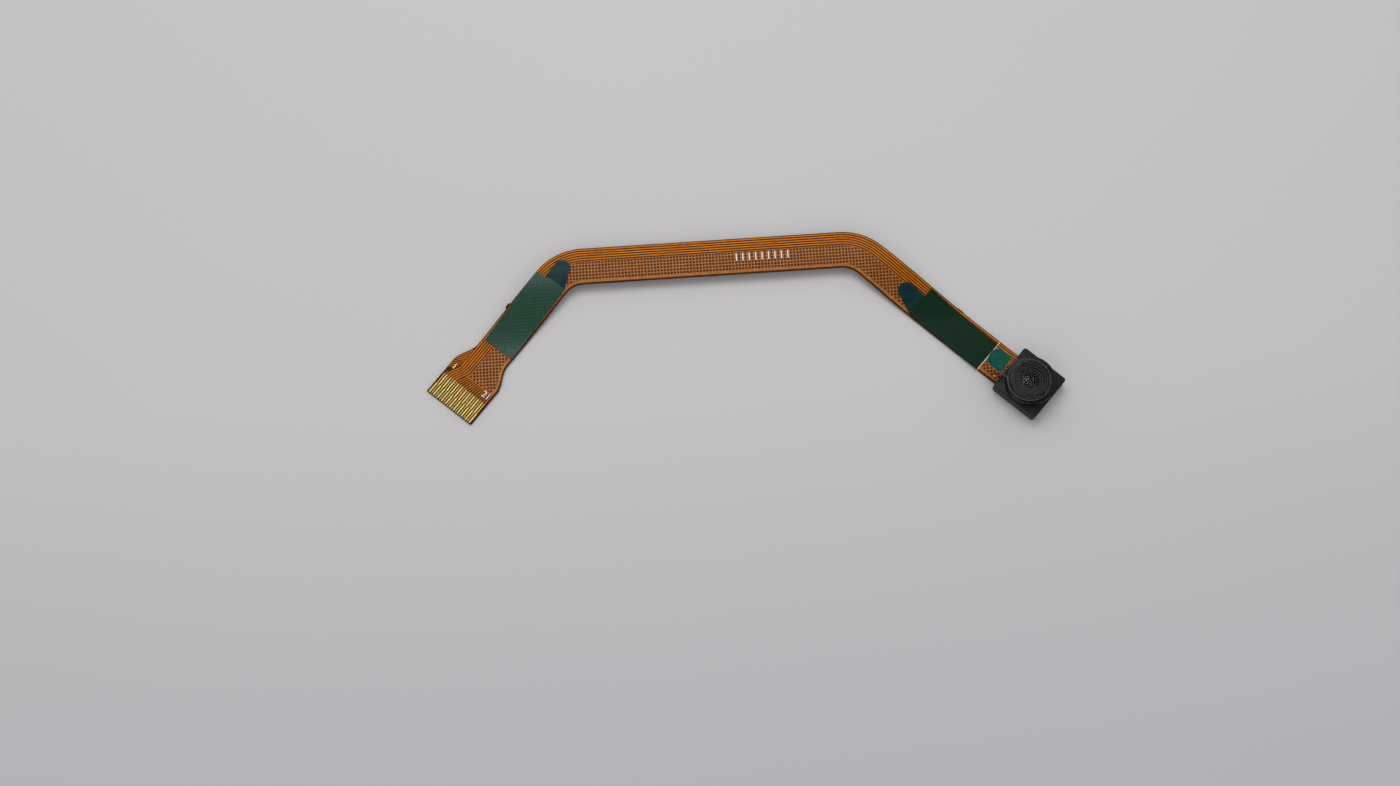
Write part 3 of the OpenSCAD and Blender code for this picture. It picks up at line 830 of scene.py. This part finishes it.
    def outline(self, tail_end: float) -> Loop:
        """Outline of the films of the ribbon, with its flared tail, tie stubs and head pad.

        Args:
            tail_end: Where the film ends along the left arm.

        Returns:
            The outline, clockwise.
        """
        half, pad = self.width / 2, self.pad / 2
        near, far = self.right_arm - pad, self.right_arm + pad
        tail = steps(tail_end, self.flare_from, self.edge_pitch)
        head = [(near, half), (near, pad), (far, pad), (far, -pad), (near, -pad), (near, -half)]
        return ([self.left(s, self.half_width(s)) for s in tail]
                + [self.left(*spot) for spot in self.stub(*self.left_stub)[::-1]]
                + self.run_line(half)
                + [self.right(*spot) for spot in self.stub(*self.right_stub) + head]
                + self.run_line(-half)[::-1]
                + [self.left(s, -self.half_width(s)) for s in tail[::-1]])


@dataclass
class FilmStack:
    """Core and coverlays of the flexible circuit."""

    route: Route
    core_t: float = 0.05
    contact_bare: float = 2.55
    window: float = 4.9

    def build(self) -> list[bpy.types.Object]:
        """Builds the three films.

        Returns:
            Their objects.
        """
        route = self.route
        half = self.window / 2
        window = [route.right(route.right_arm + x, y)
                  for x, y in rectangle(-half, half, -half, half)]
        whole, bared = (route.outline(route.left_arm - bare) for bare in (0, self.contact_bare))
        films = [
            ("core_sheet", "core_film", [whole], self.core_t, Finishes.CORE, "polyimide",
             Face.BOTH),
            ("back_cover_sheet", "back_coverlay", [whole], FILM_T, Finishes.COVERLAY,
             "coverlay", Face.LOWER),
            ("cover_sheet", "coverlay", [bared, window], FILM_T, Finishes.COVERLAY,
             "coverlay", Face.UPPER),
        ]
        made = []
        for name, node, loops, thickness, finish, slot, face in films:
            low = low_of(node)
            shape = Shape()
            shape.plate(loops, low, low + thickness, route.arch, route.slope_cuts(), face=face)
            made.append(shape.piece(name, finish, slot, [node]))
        return made


@dataclass
class GroundMesh:
    """Fine hatched copper beside the signal traces."""

    route: Route
    copper_t: float = 0.02
    pitch: float = 0.383
    line_w: float = 0.12
    border: float = 0.085
    inner_border: float = 0.27
    outer_edge: float = 0.605
    inner_edge: float = -1.98
    hole_row: float = 0.03
    tail_gap: float = 1.25
    contact_from: float = 18.3
    fan_l: float = 2.0
    trace_start: float = 0.83
    trace_end: float = 1.5

    def outer(self, s: float) -> float:
        """Outer limit of the mesh, which follows the last trace of the fan."""
        swing = ease((s - self.contact_from + self.fan_l) / self.fan_l)
        return self.outer_edge + (self.trace_end - self.trace_start) * swing

    def inner(self, s: float) -> float:
        """Inner limit of the mesh, beside the ribbon's inner edge."""
        return self.inner_edge - (self.route.half_width(s) - self.route.width / 2)

    def spans(self, loop: Loop, axis: int, at: float) -> list[Span]:
        """Where a line of the hatch lies inside an outline.

        Args:
            loop: The outline.
            axis: 0 for an upright line at x, 1 for a level line at y.
            at: Place of the line.

        Returns:
            Start and end of each stretch inside the outline.
        """
        found, other = [], 1 - axis
        for a, b in zip(loop, loop[1:] + loop[:1]):
            if (a[axis] > at) != (b[axis] > at):
                rise = (at - a[axis]) * (b[other] - a[other]) / (b[axis] - a[axis])
                found.append(a[other] + rise)
        found.sort()
        return list(zip(found[::2], found[1::2]))

    def build(self) -> list[bpy.types.Object]:
        """Builds the hatched copper.

        Returns:
            Its object.
        """
        route = self.route
        left_end = self.contact_from - self.tail_gap
        right_end = route.right_arm - route.head_size / 2
        pour = route.band(self.outer, self.inner, left_end, right_end)
        mesh = route.band(lambda s: self.outer(s) - self.border,
                          lambda s: self.inner(s) + self.inner_border,
                          left_end - self.border, right_end - self.border)
        gap = self.pitch - self.line_w
        x0 = route.left_corner[0] + route.middle_run / 2 + self.pitch / 2
        y0 = route.left_corner[1] + self.hole_row - gap / 2
        cuts = route.slope_cuts()
        corners = np.array(mesh)
        for axis, start in ((0, x0), (1, y0)):
            first = math.floor((corners[:, axis].min() - start) / self.pitch)
            last = math.ceil((corners[:, axis].max() - start) / self.pitch)
            for i in range(first, last + 1):
                for side in (0.0, gap):
                    at = start + i * self.pitch + side
                    for a, b in self.spans(mesh, axis, at):
                        cuts.append(((at, a), (at, b)) if axis == 0 else ((a, at), (b, at)))

        def keep(points: np.ndarray) -> np.ndarray:
            """Keeps the copper and drops the gaps.

            Args:
                points: One row of x and y a point.

            Returns:
                One truth value a point.
            """
            hole = (points[:, 0] - x0) % self.pitch < gap
            hole &= (points[:, 1] - y0) % self.pitch < gap
            return inside(points, [pour]) & ~(hole & inside(points, [mesh]))

        low = low_of("ground_mesh")
        shape = Shape()
        shape.plate([pour, mesh], low, low + self.copper_t, route.arch, cuts, keep)
        return [shape.piece("ground_hatch", Finishes.COPPER_HATCH_WITH_SHEEN, "copper", ["ground_mesh"])]


@dataclass
class TailCopper:
    """Contacts, the short leads behind them, a small hatch beside the fan and a via."""

    route: Route
    copper_t: float = 0.02
    contact_count: int = 21
    contact_pitch: float = 0.3
    contact_bare: float = 2.55
    contact_held: float = 0.35
    contact_inset: float = 0.08
    wide: float = 0.17
    thin: float = 0.09
    taper_l: float = 0.1
    first_lead: int = 6
    lead_w: float = 0.09
    lead_l: float = 1.25
    lead_swing: float = 0.46
    lead_pitch: float = 0.05
    outer_lead: Span = (-0.12, 0.4)
    trace_out: float = 2.01
    fan_l: float = 2.0
    hatch_from: float = 13.4
    hatch_to: float = 17.3
    hatch_pitch: float = 0.3
    trace_gap: float = 0.13
    edge_gap: float = 0.1
    shortest: float = 0.12
    via_at: Point = (21.9, -1.5)
    via_r: float = 0.16
    via_t: float = 0.012

    @property
    def contact_from(self) -> float:
        """Where the contacts start, along the left arm."""
        return self.route.left_arm - self.contact_bare - self.contact_held

    def contact_t(self, contact: float) -> float:
        """Offset of a contact from the centre line, 0 the one nearest the outer edge."""
        return ((self.contact_count - 1) / 2 - contact) * self.contact_pitch

    def finger(self, contact: int) -> Loop:
        """Outline of a contact: wide at the back and thin in front, or the other way about.

        Args:
            contact: Number of the contact.

        Returns:
            The outline.
        """
        back, front = (self.wide, self.thin) if contact % 2 else (self.thin, self.wide)
        middle = (self.contact_held + self.contact_bare) / 2
        tip = self.contact_held + self.contact_bare - self.contact_inset
        t = self.contact_t(contact)
        side = [(0.0, back / 2), (middle, back / 2), (middle + self.taper_l, front / 2),
                (tip, front / 2)]
        return [self.route.left(self.contact_from + s, t + w) for s, w in side] + [
            self.route.left(self.contact_from + s, t - w) for s, w in side[::-1]]

    def strip(self, line: Sequence[Point], width: float) -> Loop:
        """Outline of a narrow strip along a line of places on the left arm.

        Args:
            line: Distance along the arm and offset of each of its points.
            width: Its width.

        Returns:
            The outline.
        """
        sides: tuple[Loop, Loop] = ([], [])
        for i, (s, t) in enumerate(line):
            a, b = line[max(0, i - 1)], line[min(len(line) - 1, i + 1)]
            run = math.hypot(b[0] - a[0], b[1] - a[1])
            ns, nt = -(b[1] - a[1]) / run, (b[0] - a[0]) / run
            for side, out in zip(sides, (width / 2, -width / 2)):
                side.append(self.route.left(s + ns * out, t + nt * out))
        return sides[0] + sides[1][::-1]

    def lead(self, contact: int, shift: float, reach: float) -> Loop:
        """Outline of a curved lead that starts at a contact.

        Args:
            contact: Number of the contact.
            shift: How far its far end lies towards the outer edge.
            reach: Its length along the arm.

        Returns:
            The outline.
        """
        t0 = self.contact_t(contact)
        line = [(self.contact_from - s, t0 + shift * ease(s / reach))
                for s in steps(0, reach, self.lead_pitch)]
        return self.strip(line, self.lead_w)

    def outer_trace(self, s: float) -> float:
        """Offset of the outermost signal trace, which swings out to its contact at the tail."""
        swing = ease((s - self.contact_from + self.fan_l) / self.fan_l)
        return self.trace_out + (self.contact_t(1) - self.trace_out) * swing

    def beside_fan(self) -> list[Loop]:
        """Outlines of the small slanted lines from the outermost trace to the tail's edge.

        Returns:
            The outlines.
        """
        loops = []
        for s in steps(self.hatch_from, self.hatch_to, self.hatch_pitch):
            low = self.outer_trace(s) + self.trace_gap
            high = self.route.half_width(s) - self.edge_gap
            if high - low > self.shortest:
                loops.append(self.strip([(s - (high - low) / 2, low), (s, high)], self.lead_w))
        return loops

    def build(self) -> list[bpy.types.Object]:
        """Builds the contacts, the leads and the via.

        Returns:
            Their objects.
        """
        route, low = self.route, low_of("ground_mesh")
        fingers, leads, via = Shape(), Shape(), Shape()
        for contact in range(self.contact_count):
            fingers.plate([self.finger(contact)], low, low + self.copper_t)
        last = self.contact_count - 1
        for contact in range(self.first_lead, last + 1):
            swing = self.lead_swing * (contact - self.first_lead) / (last - self.first_lead)
            lead = self.lead(contact, swing - self.lead_swing, self.lead_l)
            leads.plate([lead], low, low + self.copper_t)
        leads.plate([self.lead(0, *self.outer_lead)], low, low + self.copper_t)
        for loop in self.beside_fan():
            leads.plate([loop], low, low + self.copper_t, route.arch)
        edge = [route.right(*spot) for spot in arc(self.via_at, self.via_r, 0, -360, count=24)[:-1]]
        via.plate([edge], cover_top(), cover_top() + self.via_t, route.arch)
        return [fingers.piece("contact_fingers", Finishes.GOLD, "gold", ["contacts"]),
                leads.piece("contact_leads", Finishes.COPPER, "copper"),
                via.piece("via_cap", Finishes.VIA, "copper")]


@dataclass
class Patches:
    """The two adhesive patches with their release liners and pull tongues."""

    route: Route
    patch_l: float = 10.1
    patch_w: float = 4.0
    liner_over: float = 0.05
    tongue_w: float = 2.0
    tongue_l: float = 3.0
    tongue_shift: float = 0.18
    left_at: float = 2.2
    left_out: float = 0.17
    right_at: float = 9.7
    skew: float = 1.5
    tape_t: float = 0.05
    liner_t: float = 0.06
    corner: float = 0.12
    curl: float = 0.1
    curl_cut: float = 2.4
    curl_pitch: float = 0.2

    def local(self, arm: Arm, at: float, x: float, y: float) -> Point:
        """Place on an arm of a point of the patch's own plan."""
        a = math.radians(-self.skew)
        return arm(at + x * math.cos(a) - y * math.sin(a), x * math.sin(a) + y * math.cos(a))

    def liner_plan(self) -> Loop:
        """Outline of a liner in its own plan: the patch from x = 0, its tongue before it.

        Returns:
            The outline, clockwise.
        """
        r, half = self.tongue_w / 2, self.patch_w / 2
        end = self.patch_l - self.corner
        return [(0.0, half),
                *arc((end, half - self.corner), self.corner, 90, -90, count=6),
                *arc((end, -half + self.corner), self.corner, 0, -90, count=6),
                (0.0, -half),
                *arc((r - self.tongue_l, -self.tongue_shift), r, 270, -180, count=30),
                (0.0, r - self.tongue_shift)]

    def patch(self, side: str, arm: Arm, at: float, finish: Finish) -> list[bpy.types.Object]:
        """Builds one patch.

        Args:
            side: The arm's name.
            arm: Gives places on the arm.
            at: Where the patch starts along the arm.
            finish: The liner's finish.

        Returns:
            The objects of the tape and the liner.
        """
        route, base = self.route, cover_top()
        origin, along = self.local(arm, at, 0, 0), self.local(arm, at, 1, 0)
        direction = along[0] - origin[0], along[1] - origin[1]

        def before(x: float, y: float) -> float:
            """How far a place lies before the patch, on the tongue's side."""
            return -((x - origin[0]) * direction[0] + (y - origin[1]) * direction[1])

        def lift(x: float, y: float) -> float:
            """The arch, and the curl of the tongue's free end."""
            return route.arch(x, y) + self.curl * max(0.0, before(x, y) / self.tongue_l) ** 2

        def chooser(spot: Vector) -> int:
            """The tongue's finish before the patch, the liner's on it."""
            return 1 if before(spot.x, spot.y) > 0 else 0

        inset, half, top = self.liner_over, self.patch_w / 2, base + self.tape_t
        plan = rectangle(inset, self.patch_l - inset, inset - half, half - inset)
        tape, liner = Shape(), Shape()
        tape.plate([[self.local(arm, at, x, y) for x, y in plan]], base, top,
                   route.arch, route.slope_cuts(), face=Face.UPPER)
        across = [(self.local(arm, at, -x, -self.curl_cut), self.local(arm, at, -x, self.curl_cut))
                  for x in steps(self.curl_pitch, self.tongue_l, self.curl_pitch)]
        liner.plate([[self.local(arm, at, x, y) for x, y in self.liner_plan()]], top,
                    top + self.liner_t, lift, route.slope_cuts() + across, face=Face.UPPER)
        return [tape.piece(f"{side}_tape_sheet", Finishes.TAPE, "tape", [f"{side}_tape"]),
                liner.piece(f"{side}_liner_sheet", finish, "liner", [f"{side}_liner"],
                            finishes=[Finishes.TONGUE], chooser=chooser)]

    def build(self) -> list[bpy.types.Object]:
        """Builds both patches.

        Returns:
            The objects of the tapes and liners.
        """
        def left_arm(s: float, t: float) -> Point:
            """Place on the left arm, moved out a little."""
            return self.route.left(s, t + self.left_out)

        # The left liner gets the lit copy with painted sheen, the right one the shaded copy with
        # painted shade.
        return (self.patch("left", left_arm, self.left_at, Finishes.LINER)
                + self.patch("right", self.route.right, self.right_at, Finishes.SHADED_LINER))


@dataclass
class Print:
    """White print on the coverlay: pin numbers, a fold line and plain ticks."""

    route: Route
    ink_t: float = 0.012
    number_h: float = 0.75
    type_scale: float = 1.4
    first_at: Point = (4.2, 2.65)
    last_at: Point = (3.75, -2.5)
    line_at: float = 19.86
    ticks_at: Point = (23.4, -0.1)
    tick_count: int = 9
    tick_pitch: float = 0.76
    tick_l: float = 0.95
    tick_w: float = 0.13
    line_w: float = 0.07
    line_inset: float = 0.04

    def number(self, text: str, place: Point) -> bpy.types.Object:
        """A pin number whose top points to the ribbon.

        Args:
            text: The number.
            place: Its middle: the distance from the tail's end, and the offset from the
                centre line.

        Returns:
            Its object.
        """
        curve = bpy.data.curves.new(f"number_{text}", "FONT")
        curve.body, curve.size = text, self.number_h * MM * self.type_scale
        curve.align_x, curve.align_y = "CENTER", "CENTER"
        curve.extrude = self.ink_t / 2 * MM
        holder = add_object(f"number_curve_{text}", curve)
        bpy.context.view_layer.update()
        mesh = bpy.data.meshes.new_from_object(holder)
        bpy.data.objects.remove(holder)
        a = math.radians(self.route.left_turn)
        x, y = self.route.left(self.route.left_arm - place[0], place[1])
        mesh.transform(Matrix((
            (math.sin(a), math.cos(a), 0, x * MM), (-math.cos(a), math.sin(a), 0, y * MM),
            (0, 0, 1, (cover_top() + self.ink_t / 2) * MM), (0, 0, 0, 1))))
        mesh.materials.clear()
        mesh.materials.append(Finishes.INK.material())
        made = add_object(f"pin_number_{text}", mesh)
        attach(made, "root")
        LOG.info("%s: %d faces", made.name, len(mesh.polygons))
        return made

    def build(self) -> list[bpy.types.Object]:
        """Builds the numbers, the fold line and the plain ticks.

        Returns:
            Their objects.
        """
        route, low, high = self.route, cover_top(), cover_top() + self.ink_t
        half = route.width / 2 - self.line_inset
        line = [route.right(self.line_at + s, t) for s, t in rectangle(0, self.line_w, -half, half)]
        fold, ticks = Shape(), Shape()
        fold.plate([line], low, high, route.arch, route.slope_cuts())
        half_l, half_w = self.tick_l / 2, self.tick_w / 2
        for i in range(self.tick_count):
            x = self.ticks_at[0] + (i - (self.tick_count - 1) / 2) * self.tick_pitch
            tick = [route.middle(a, self.ticks_at[1] + b)
                    for a, b in rectangle(x - half_w, x + half_w, -half_l, half_l)]
            ticks.plate([tick], low, high, route.arch, route.slope_cuts())
        return [fold.piece("fold_line", Finishes.INK, "coverlay"),
                ticks.piece("plain_ticks", Finishes.INK, "coverlay"),
                self.number("1", self.first_at), self.number("21", self.last_at)]


@dataclass
class CameraHead:
    """Lens holder, barrel, front lens, protective film and its pull tab."""

    route: Route
    size: float = 6.0
    corner: float = 0.3
    edge: float = 0.07
    low_edge: float = 0.042
    chamfer: float = 0.04
    axis_r: float = 0.001
    base_top: float = 2.0
    overlap: float = 0.4
    collar_foot: float = 0.1
    collar_r: float = 2.85
    collar_top: float = 3.0
    bore_r: float = 2.5
    barrel_r: float = 2.45
    head_r: float = 2.55
    head_low: float = 3.06
    head_edge: float = 0.08
    funnel_r: float = 1.95
    funnel_depth: float = 0.85
    funnel_rings: int = 4
    ring_slope: float = 0.25
    aperture_r: float = 0.95
    aperture_t: float = 0.1
    lens_bore_r: float = 1.9
    lens_play: float = 0.03
    lens_sag: float = 0.1
    lens_hollow: float = 0.08
    dome_steps: int = 12
    film_r: float = 2.52
    film_t: float = 0.05
    film_edge_w: float = 0.1
    film_thinner: float = 0.9
    neck_w: float = 2.55
    neck_reach: float = 5.45
    neck_corner: float = 1.05
    tab_l: float = 2.25
    tab_margin: float = 0.1
    tab_t: float = 0.06
    film_turn: float = 5.0
    film_shift: Point = (-0.17, -0.35)

    @property
    def axis(self) -> Point:
        """Place of the lens axis in the plan."""
        return self.route.right(self.route.right_arm, 0)

    def turned(self, x: float, y: float) -> Point:
        """Place in the plan of a point of the head, whose +x points away from the ribbon."""
        a = math.radians(-self.route.right_turn)
        return (self.axis[0] + x * math.cos(a) - y * math.sin(a),
                self.axis[1] + x * math.sin(a) + y * math.cos(a))

    def on_film(self, x: float, y: float) -> Point:
        """Place in the plan of a point of the film, which lies a little turned and aside."""
        a = math.radians(self.film_turn)
        return self.turned(x * math.cos(a) - y * math.sin(a) + self.film_shift[0],
                           x * math.sin(a) + y * math.cos(a) + self.film_shift[1])

    def holder(self) -> bpy.types.Object:
        """Builds the square base with its round collar.

        Returns:
            Its object.
        """
        low, e, foot = low_of("lens_holder"), self.edge, self.collar_foot
        rings = [(low, self.low_edge), (low + self.low_edge, 0.0),
                 *arc((self.base_top - e, e), e, -90, 90, count=4)]
        shape = Shape()
        shape.loft([[(*self.turned(x, y), z) for x, y in
                     round_rect(self.size - 2 * inset, self.size - 2 * inset, self.corner - inset)]
                    for z, inset in rings])
        wall = [(self.axis_r, self.base_top - self.overlap),
                (self.collar_r + foot, self.base_top - self.overlap),
                *arc((self.collar_r + foot, self.base_top + foot), foot, 270, -90, count=4),
                *arc((self.collar_r - e, self.collar_top - e), e, 0, 90, count=4),
                (self.bore_r + self.chamfer, self.collar_top),
                (self.bore_r, self.collar_top - self.chamfer),
                (self.bore_r, self.base_top + self.overlap),
                (self.axis_r, self.base_top + self.overlap)]
        shape.revolve(wall, self.axis)
        return shape.piece("holder_moulding", Finishes.PLASTIC, "black_plastic", ["lens_holder"])

    def barrel(self) -> bpy.types.Object:
        """Builds the lens barrel with its ringed funnel.

        Returns:
            Its object.
        """
        low, high = (p.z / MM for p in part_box("lens_barrel"))
        e, aperture = self.head_edge, high - self.funnel_depth
        profile = [(self.lens_bore_r, low), (self.barrel_r, low), (self.barrel_r, self.head_low),
                   (self.head_r - self.chamfer, self.head_low),
                   (self.head_r, self.head_low + self.chamfer),
                   *arc((self.head_r - e, high - e), e, 0, 90, count=4)]
        drop = (self.funnel_r - self.aperture_r) / self.funnel_rings
        for i in range(self.funnel_rings):
            r = self.funnel_r - drop * i
            z = high - self.funnel_depth * i / self.funnel_rings
            profile += [(r, z),
                        (r - drop * self.ring_slope, z - self.funnel_depth / self.funnel_rings)]
        profile += [(self.aperture_r, aperture), (self.aperture_r, aperture - self.aperture_t),
                    (self.lens_bore_r, aperture - self.aperture_t)]
        shape = Shape()
        shape.revolve(profile, self.axis)
        return shape.piece("barrel_moulding", Finishes.BARREL, "black_plastic", ["lens_barrel"])

    def front_lens(self) -> bpy.types.Object:
        """Builds the front lens as a smooth dome.

        Returns:
            Its object.
        """
        low, high = (p.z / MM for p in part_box("front_lens"))
        rim, near = high - self.lens_sag, self.axis_r / 2
        outer, face = self.lens_bore_r - self.lens_play, self.aperture_r - self.lens_play
        shares = [i / self.dome_steps for i in range(self.dome_steps + 1)]
        profile = [(outer, low), (outer, rim)]
        profile += [(face * u + near, rim + self.lens_sag * (1 - u ** 2)) for u in shares[::-1]]
        profile += [(face * u + near, low + self.lens_hollow * (1 - u ** 2)) for u in shares]
        shape = Shape()
        shape.revolve(profile, self.axis)
        return shape.piece("front_lens_glass", Finishes.GLASS, "glass", ["front_lens"])

    def neck_loop(self, reach: float, w: float, r: float) -> Loop:
        """Round end of the film's neck, from its -y side to its +y side.

        Args:
            reach: How far from the axis it ends.
            w: Width of the neck.
            r: Radius of its corners.

        Returns:
            The points.
        """
        return (arc((r - reach, r - w / 2), r, 270, -90, count=10)
                + arc((r - reach, w / 2 - r), r, 180, -90, count=10))

    def film(self) -> list[bpy.types.Object]:
        """Builds the clear film, its thicker edge and the pull tab.

        Returns:
            Their objects.
        """
        low = low_of("lens_film")
        top = low + self.film_t
        mouth = math.degrees(math.asin(self.neck_w / 2 / self.film_r))
        outline = (arc((0.0, 0.0), self.film_r, 180 - mouth, 2 * mouth - 360, count=96)
                   + self.neck_loop(self.neck_reach, self.neck_w, self.neck_corner))
        inner = [self.shrunk(outline, i, self.film_edge_w) for i in range(len(outline))]
        reach, w = self.neck_reach - self.tab_margin, self.neck_w - 2 * self.tab_margin
        grip = [(self.tab_l - reach, w / 2), (self.tab_l - reach, -w / 2),
                *self.neck_loop(reach, w, self.neck_corner - self.tab_margin)]
        outer_edge, inner_edge, tab_edge = ([self.on_film(x, y) for x, y in loop]
                                            for loop in (outline, inner, grip))
        sheet, rim, tab = Shape(), Shape(), Shape()
        sheet.plate([inner_edge], low, low + self.film_t * self.film_thinner)
        rim.plate([outer_edge, inner_edge], low, top)
        tab.plate([tab_edge], top, top + self.tab_t)
        return [sheet.piece("lens_film_sheet", Finishes.HAZE, "clear_film", ["lens_film"]),
                rim.piece("lens_film_edge", Finishes.HAZE_EDGE, "clear_film"),
                tab.piece("pull_tab", Finishes.TAB, "tab_film", ["film_tab"])]

    def shrunk(self, loop: Loop, i: int, inset: float) -> Point:
        """A point of a clockwise loop, moved inwards along the loop's normal.

        Args:
            loop: The loop.
            i: The point's number in the loop.
            inset: How far it moves.

        Returns:
            The moved point.
        """
        a, (x, y), b = loop[i - 1], loop[i], loop[(i + 1) % len(loop)]
        run = math.hypot(b[0] - a[0], b[1] - a[1])
        return x + (b[1] - a[1]) / run * inset, y - (b[0] - a[0]) / run * inset

    def build(self) -> list[bpy.types.Object]:
        """Builds the whole head.

        Returns:
            Its objects.
        """
        return [self.holder(), self.barrel(), self.front_lens(), *self.film()]


@dataclass
class Studio:
    """Pale table, soft light and the camera."""

    route: Route
    floor_size: float = 900.0
    key_elevation: float = 66.0
    key_heading: float = 97.0
    key_distance: float = 300.0
    key_size: float = 185.0
    key_power: float = 0.345
    sky: float = 0.66
    target: Point = (14.99, -15.92)
    camera_distance: float = 226.1
    camera_elevation: float = 75.0
    camera_azimuth: float = -3.92
    lens: float = 50.0
    sensor_w: float = 36.0
    clip: Span = (0.005, 5.0)

    def floor(self) -> None:
        """Lays the pale table under the part."""
        half = self.floor_size / 2 * MM
        mesh = bpy.data.meshes.new("table")
        mesh.from_pydata([(x, y, 0) for x, y in rectangle(-half, half, -half, half)], [],
                         [(0, 1, 2, 3)])
        mesh.materials.append(Finishes.FLOOR.material())
        add_object("table", mesh)

    def lights(self) -> None:
        """Sets the soft key light and the even sky."""
        a, e = math.radians(self.key_heading), math.radians(self.key_elevation)
        towards = Vector((math.cos(a) * math.cos(e), math.sin(a) * math.cos(e), math.sin(e)))
        light = bpy.data.lights.new("key_light", "AREA")
        light.shape, light.size, light.energy = "DISK", self.key_size * MM, self.key_power
        key = add_object("key_light", light)
        key.location = towards * self.key_distance * MM
        key.rotation_euler = towards.to_track_quat("Z", "Y").to_euler()
        world = bpy.data.worlds.new("sky")
        world.use_nodes = True
        background = world.node_tree.nodes["Background"]
        background.inputs["Color"].default_value = (1.0, 1.0, 1.0, 1.0)
        background.inputs["Strength"].default_value = self.sky
        bpy.context.scene.world = world

    def camera(self) -> None:
        """Sets the camera that looks down at the part."""
        a, e = math.radians(self.camera_azimuth), math.radians(self.camera_elevation)
        back = Vector((math.sin(a) * math.cos(e), -math.cos(a) * math.cos(e), math.sin(e)))
        data = bpy.data.cameras.new("camera")
        data.lens, data.sensor_width = self.lens, self.sensor_w
        data.clip_start, data.clip_end = self.clip
        camera = add_object("camera", data)
        corner = self.route.left_corner
        middle = Vector((corner[0] + self.target[0], corner[1] + self.target[1], 0))
        camera.location = (middle + back * self.camera_distance) * MM
        camera.rotation_euler = back.to_track_quat("Z", "Y").to_euler()
        bpy.context.scene.camera = camera

    def build(self) -> None:
        """Builds the whole stage."""
        self.floor()
        self.lights()
        self.camera()
        bpy.context.scene.view_settings.view_transform = "Standard"


def dress_nodes(nodes: dict[str, bpy.types.Object]) -> None:
    """Gives the frame's own nodes their finishes.

    Args:
        nodes: The nodes of the frame by name.
    """
    for name, finish in NODE_FINISHES.items():
        slots = nodes[name].material_slots
        if not slots:
            nodes[name].data.materials.append(finish.material())
        for each in slots:
            each.material = finish.material()
        LOG.info("%s: %s", name, finish.name)


def main() -> None:
    """Builds the dressed part and its stage."""
    logging.basicConfig(level=logging.INFO, format="%(name)s %(message)s")
    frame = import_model()
    route = Route.from_frame()
    Studio(route).build()
    dress_nodes(frame["nodes"])
    pieces: list[bpy.types.Object] = []
    for assembly in (FilmStack, GroundMesh, TailCopper, Patches, Print, CameraHead):
        pieces += assembly(route).build()
    LOG.info("%d pieces", len(pieces))


if __name__ == "__main__":
    main()
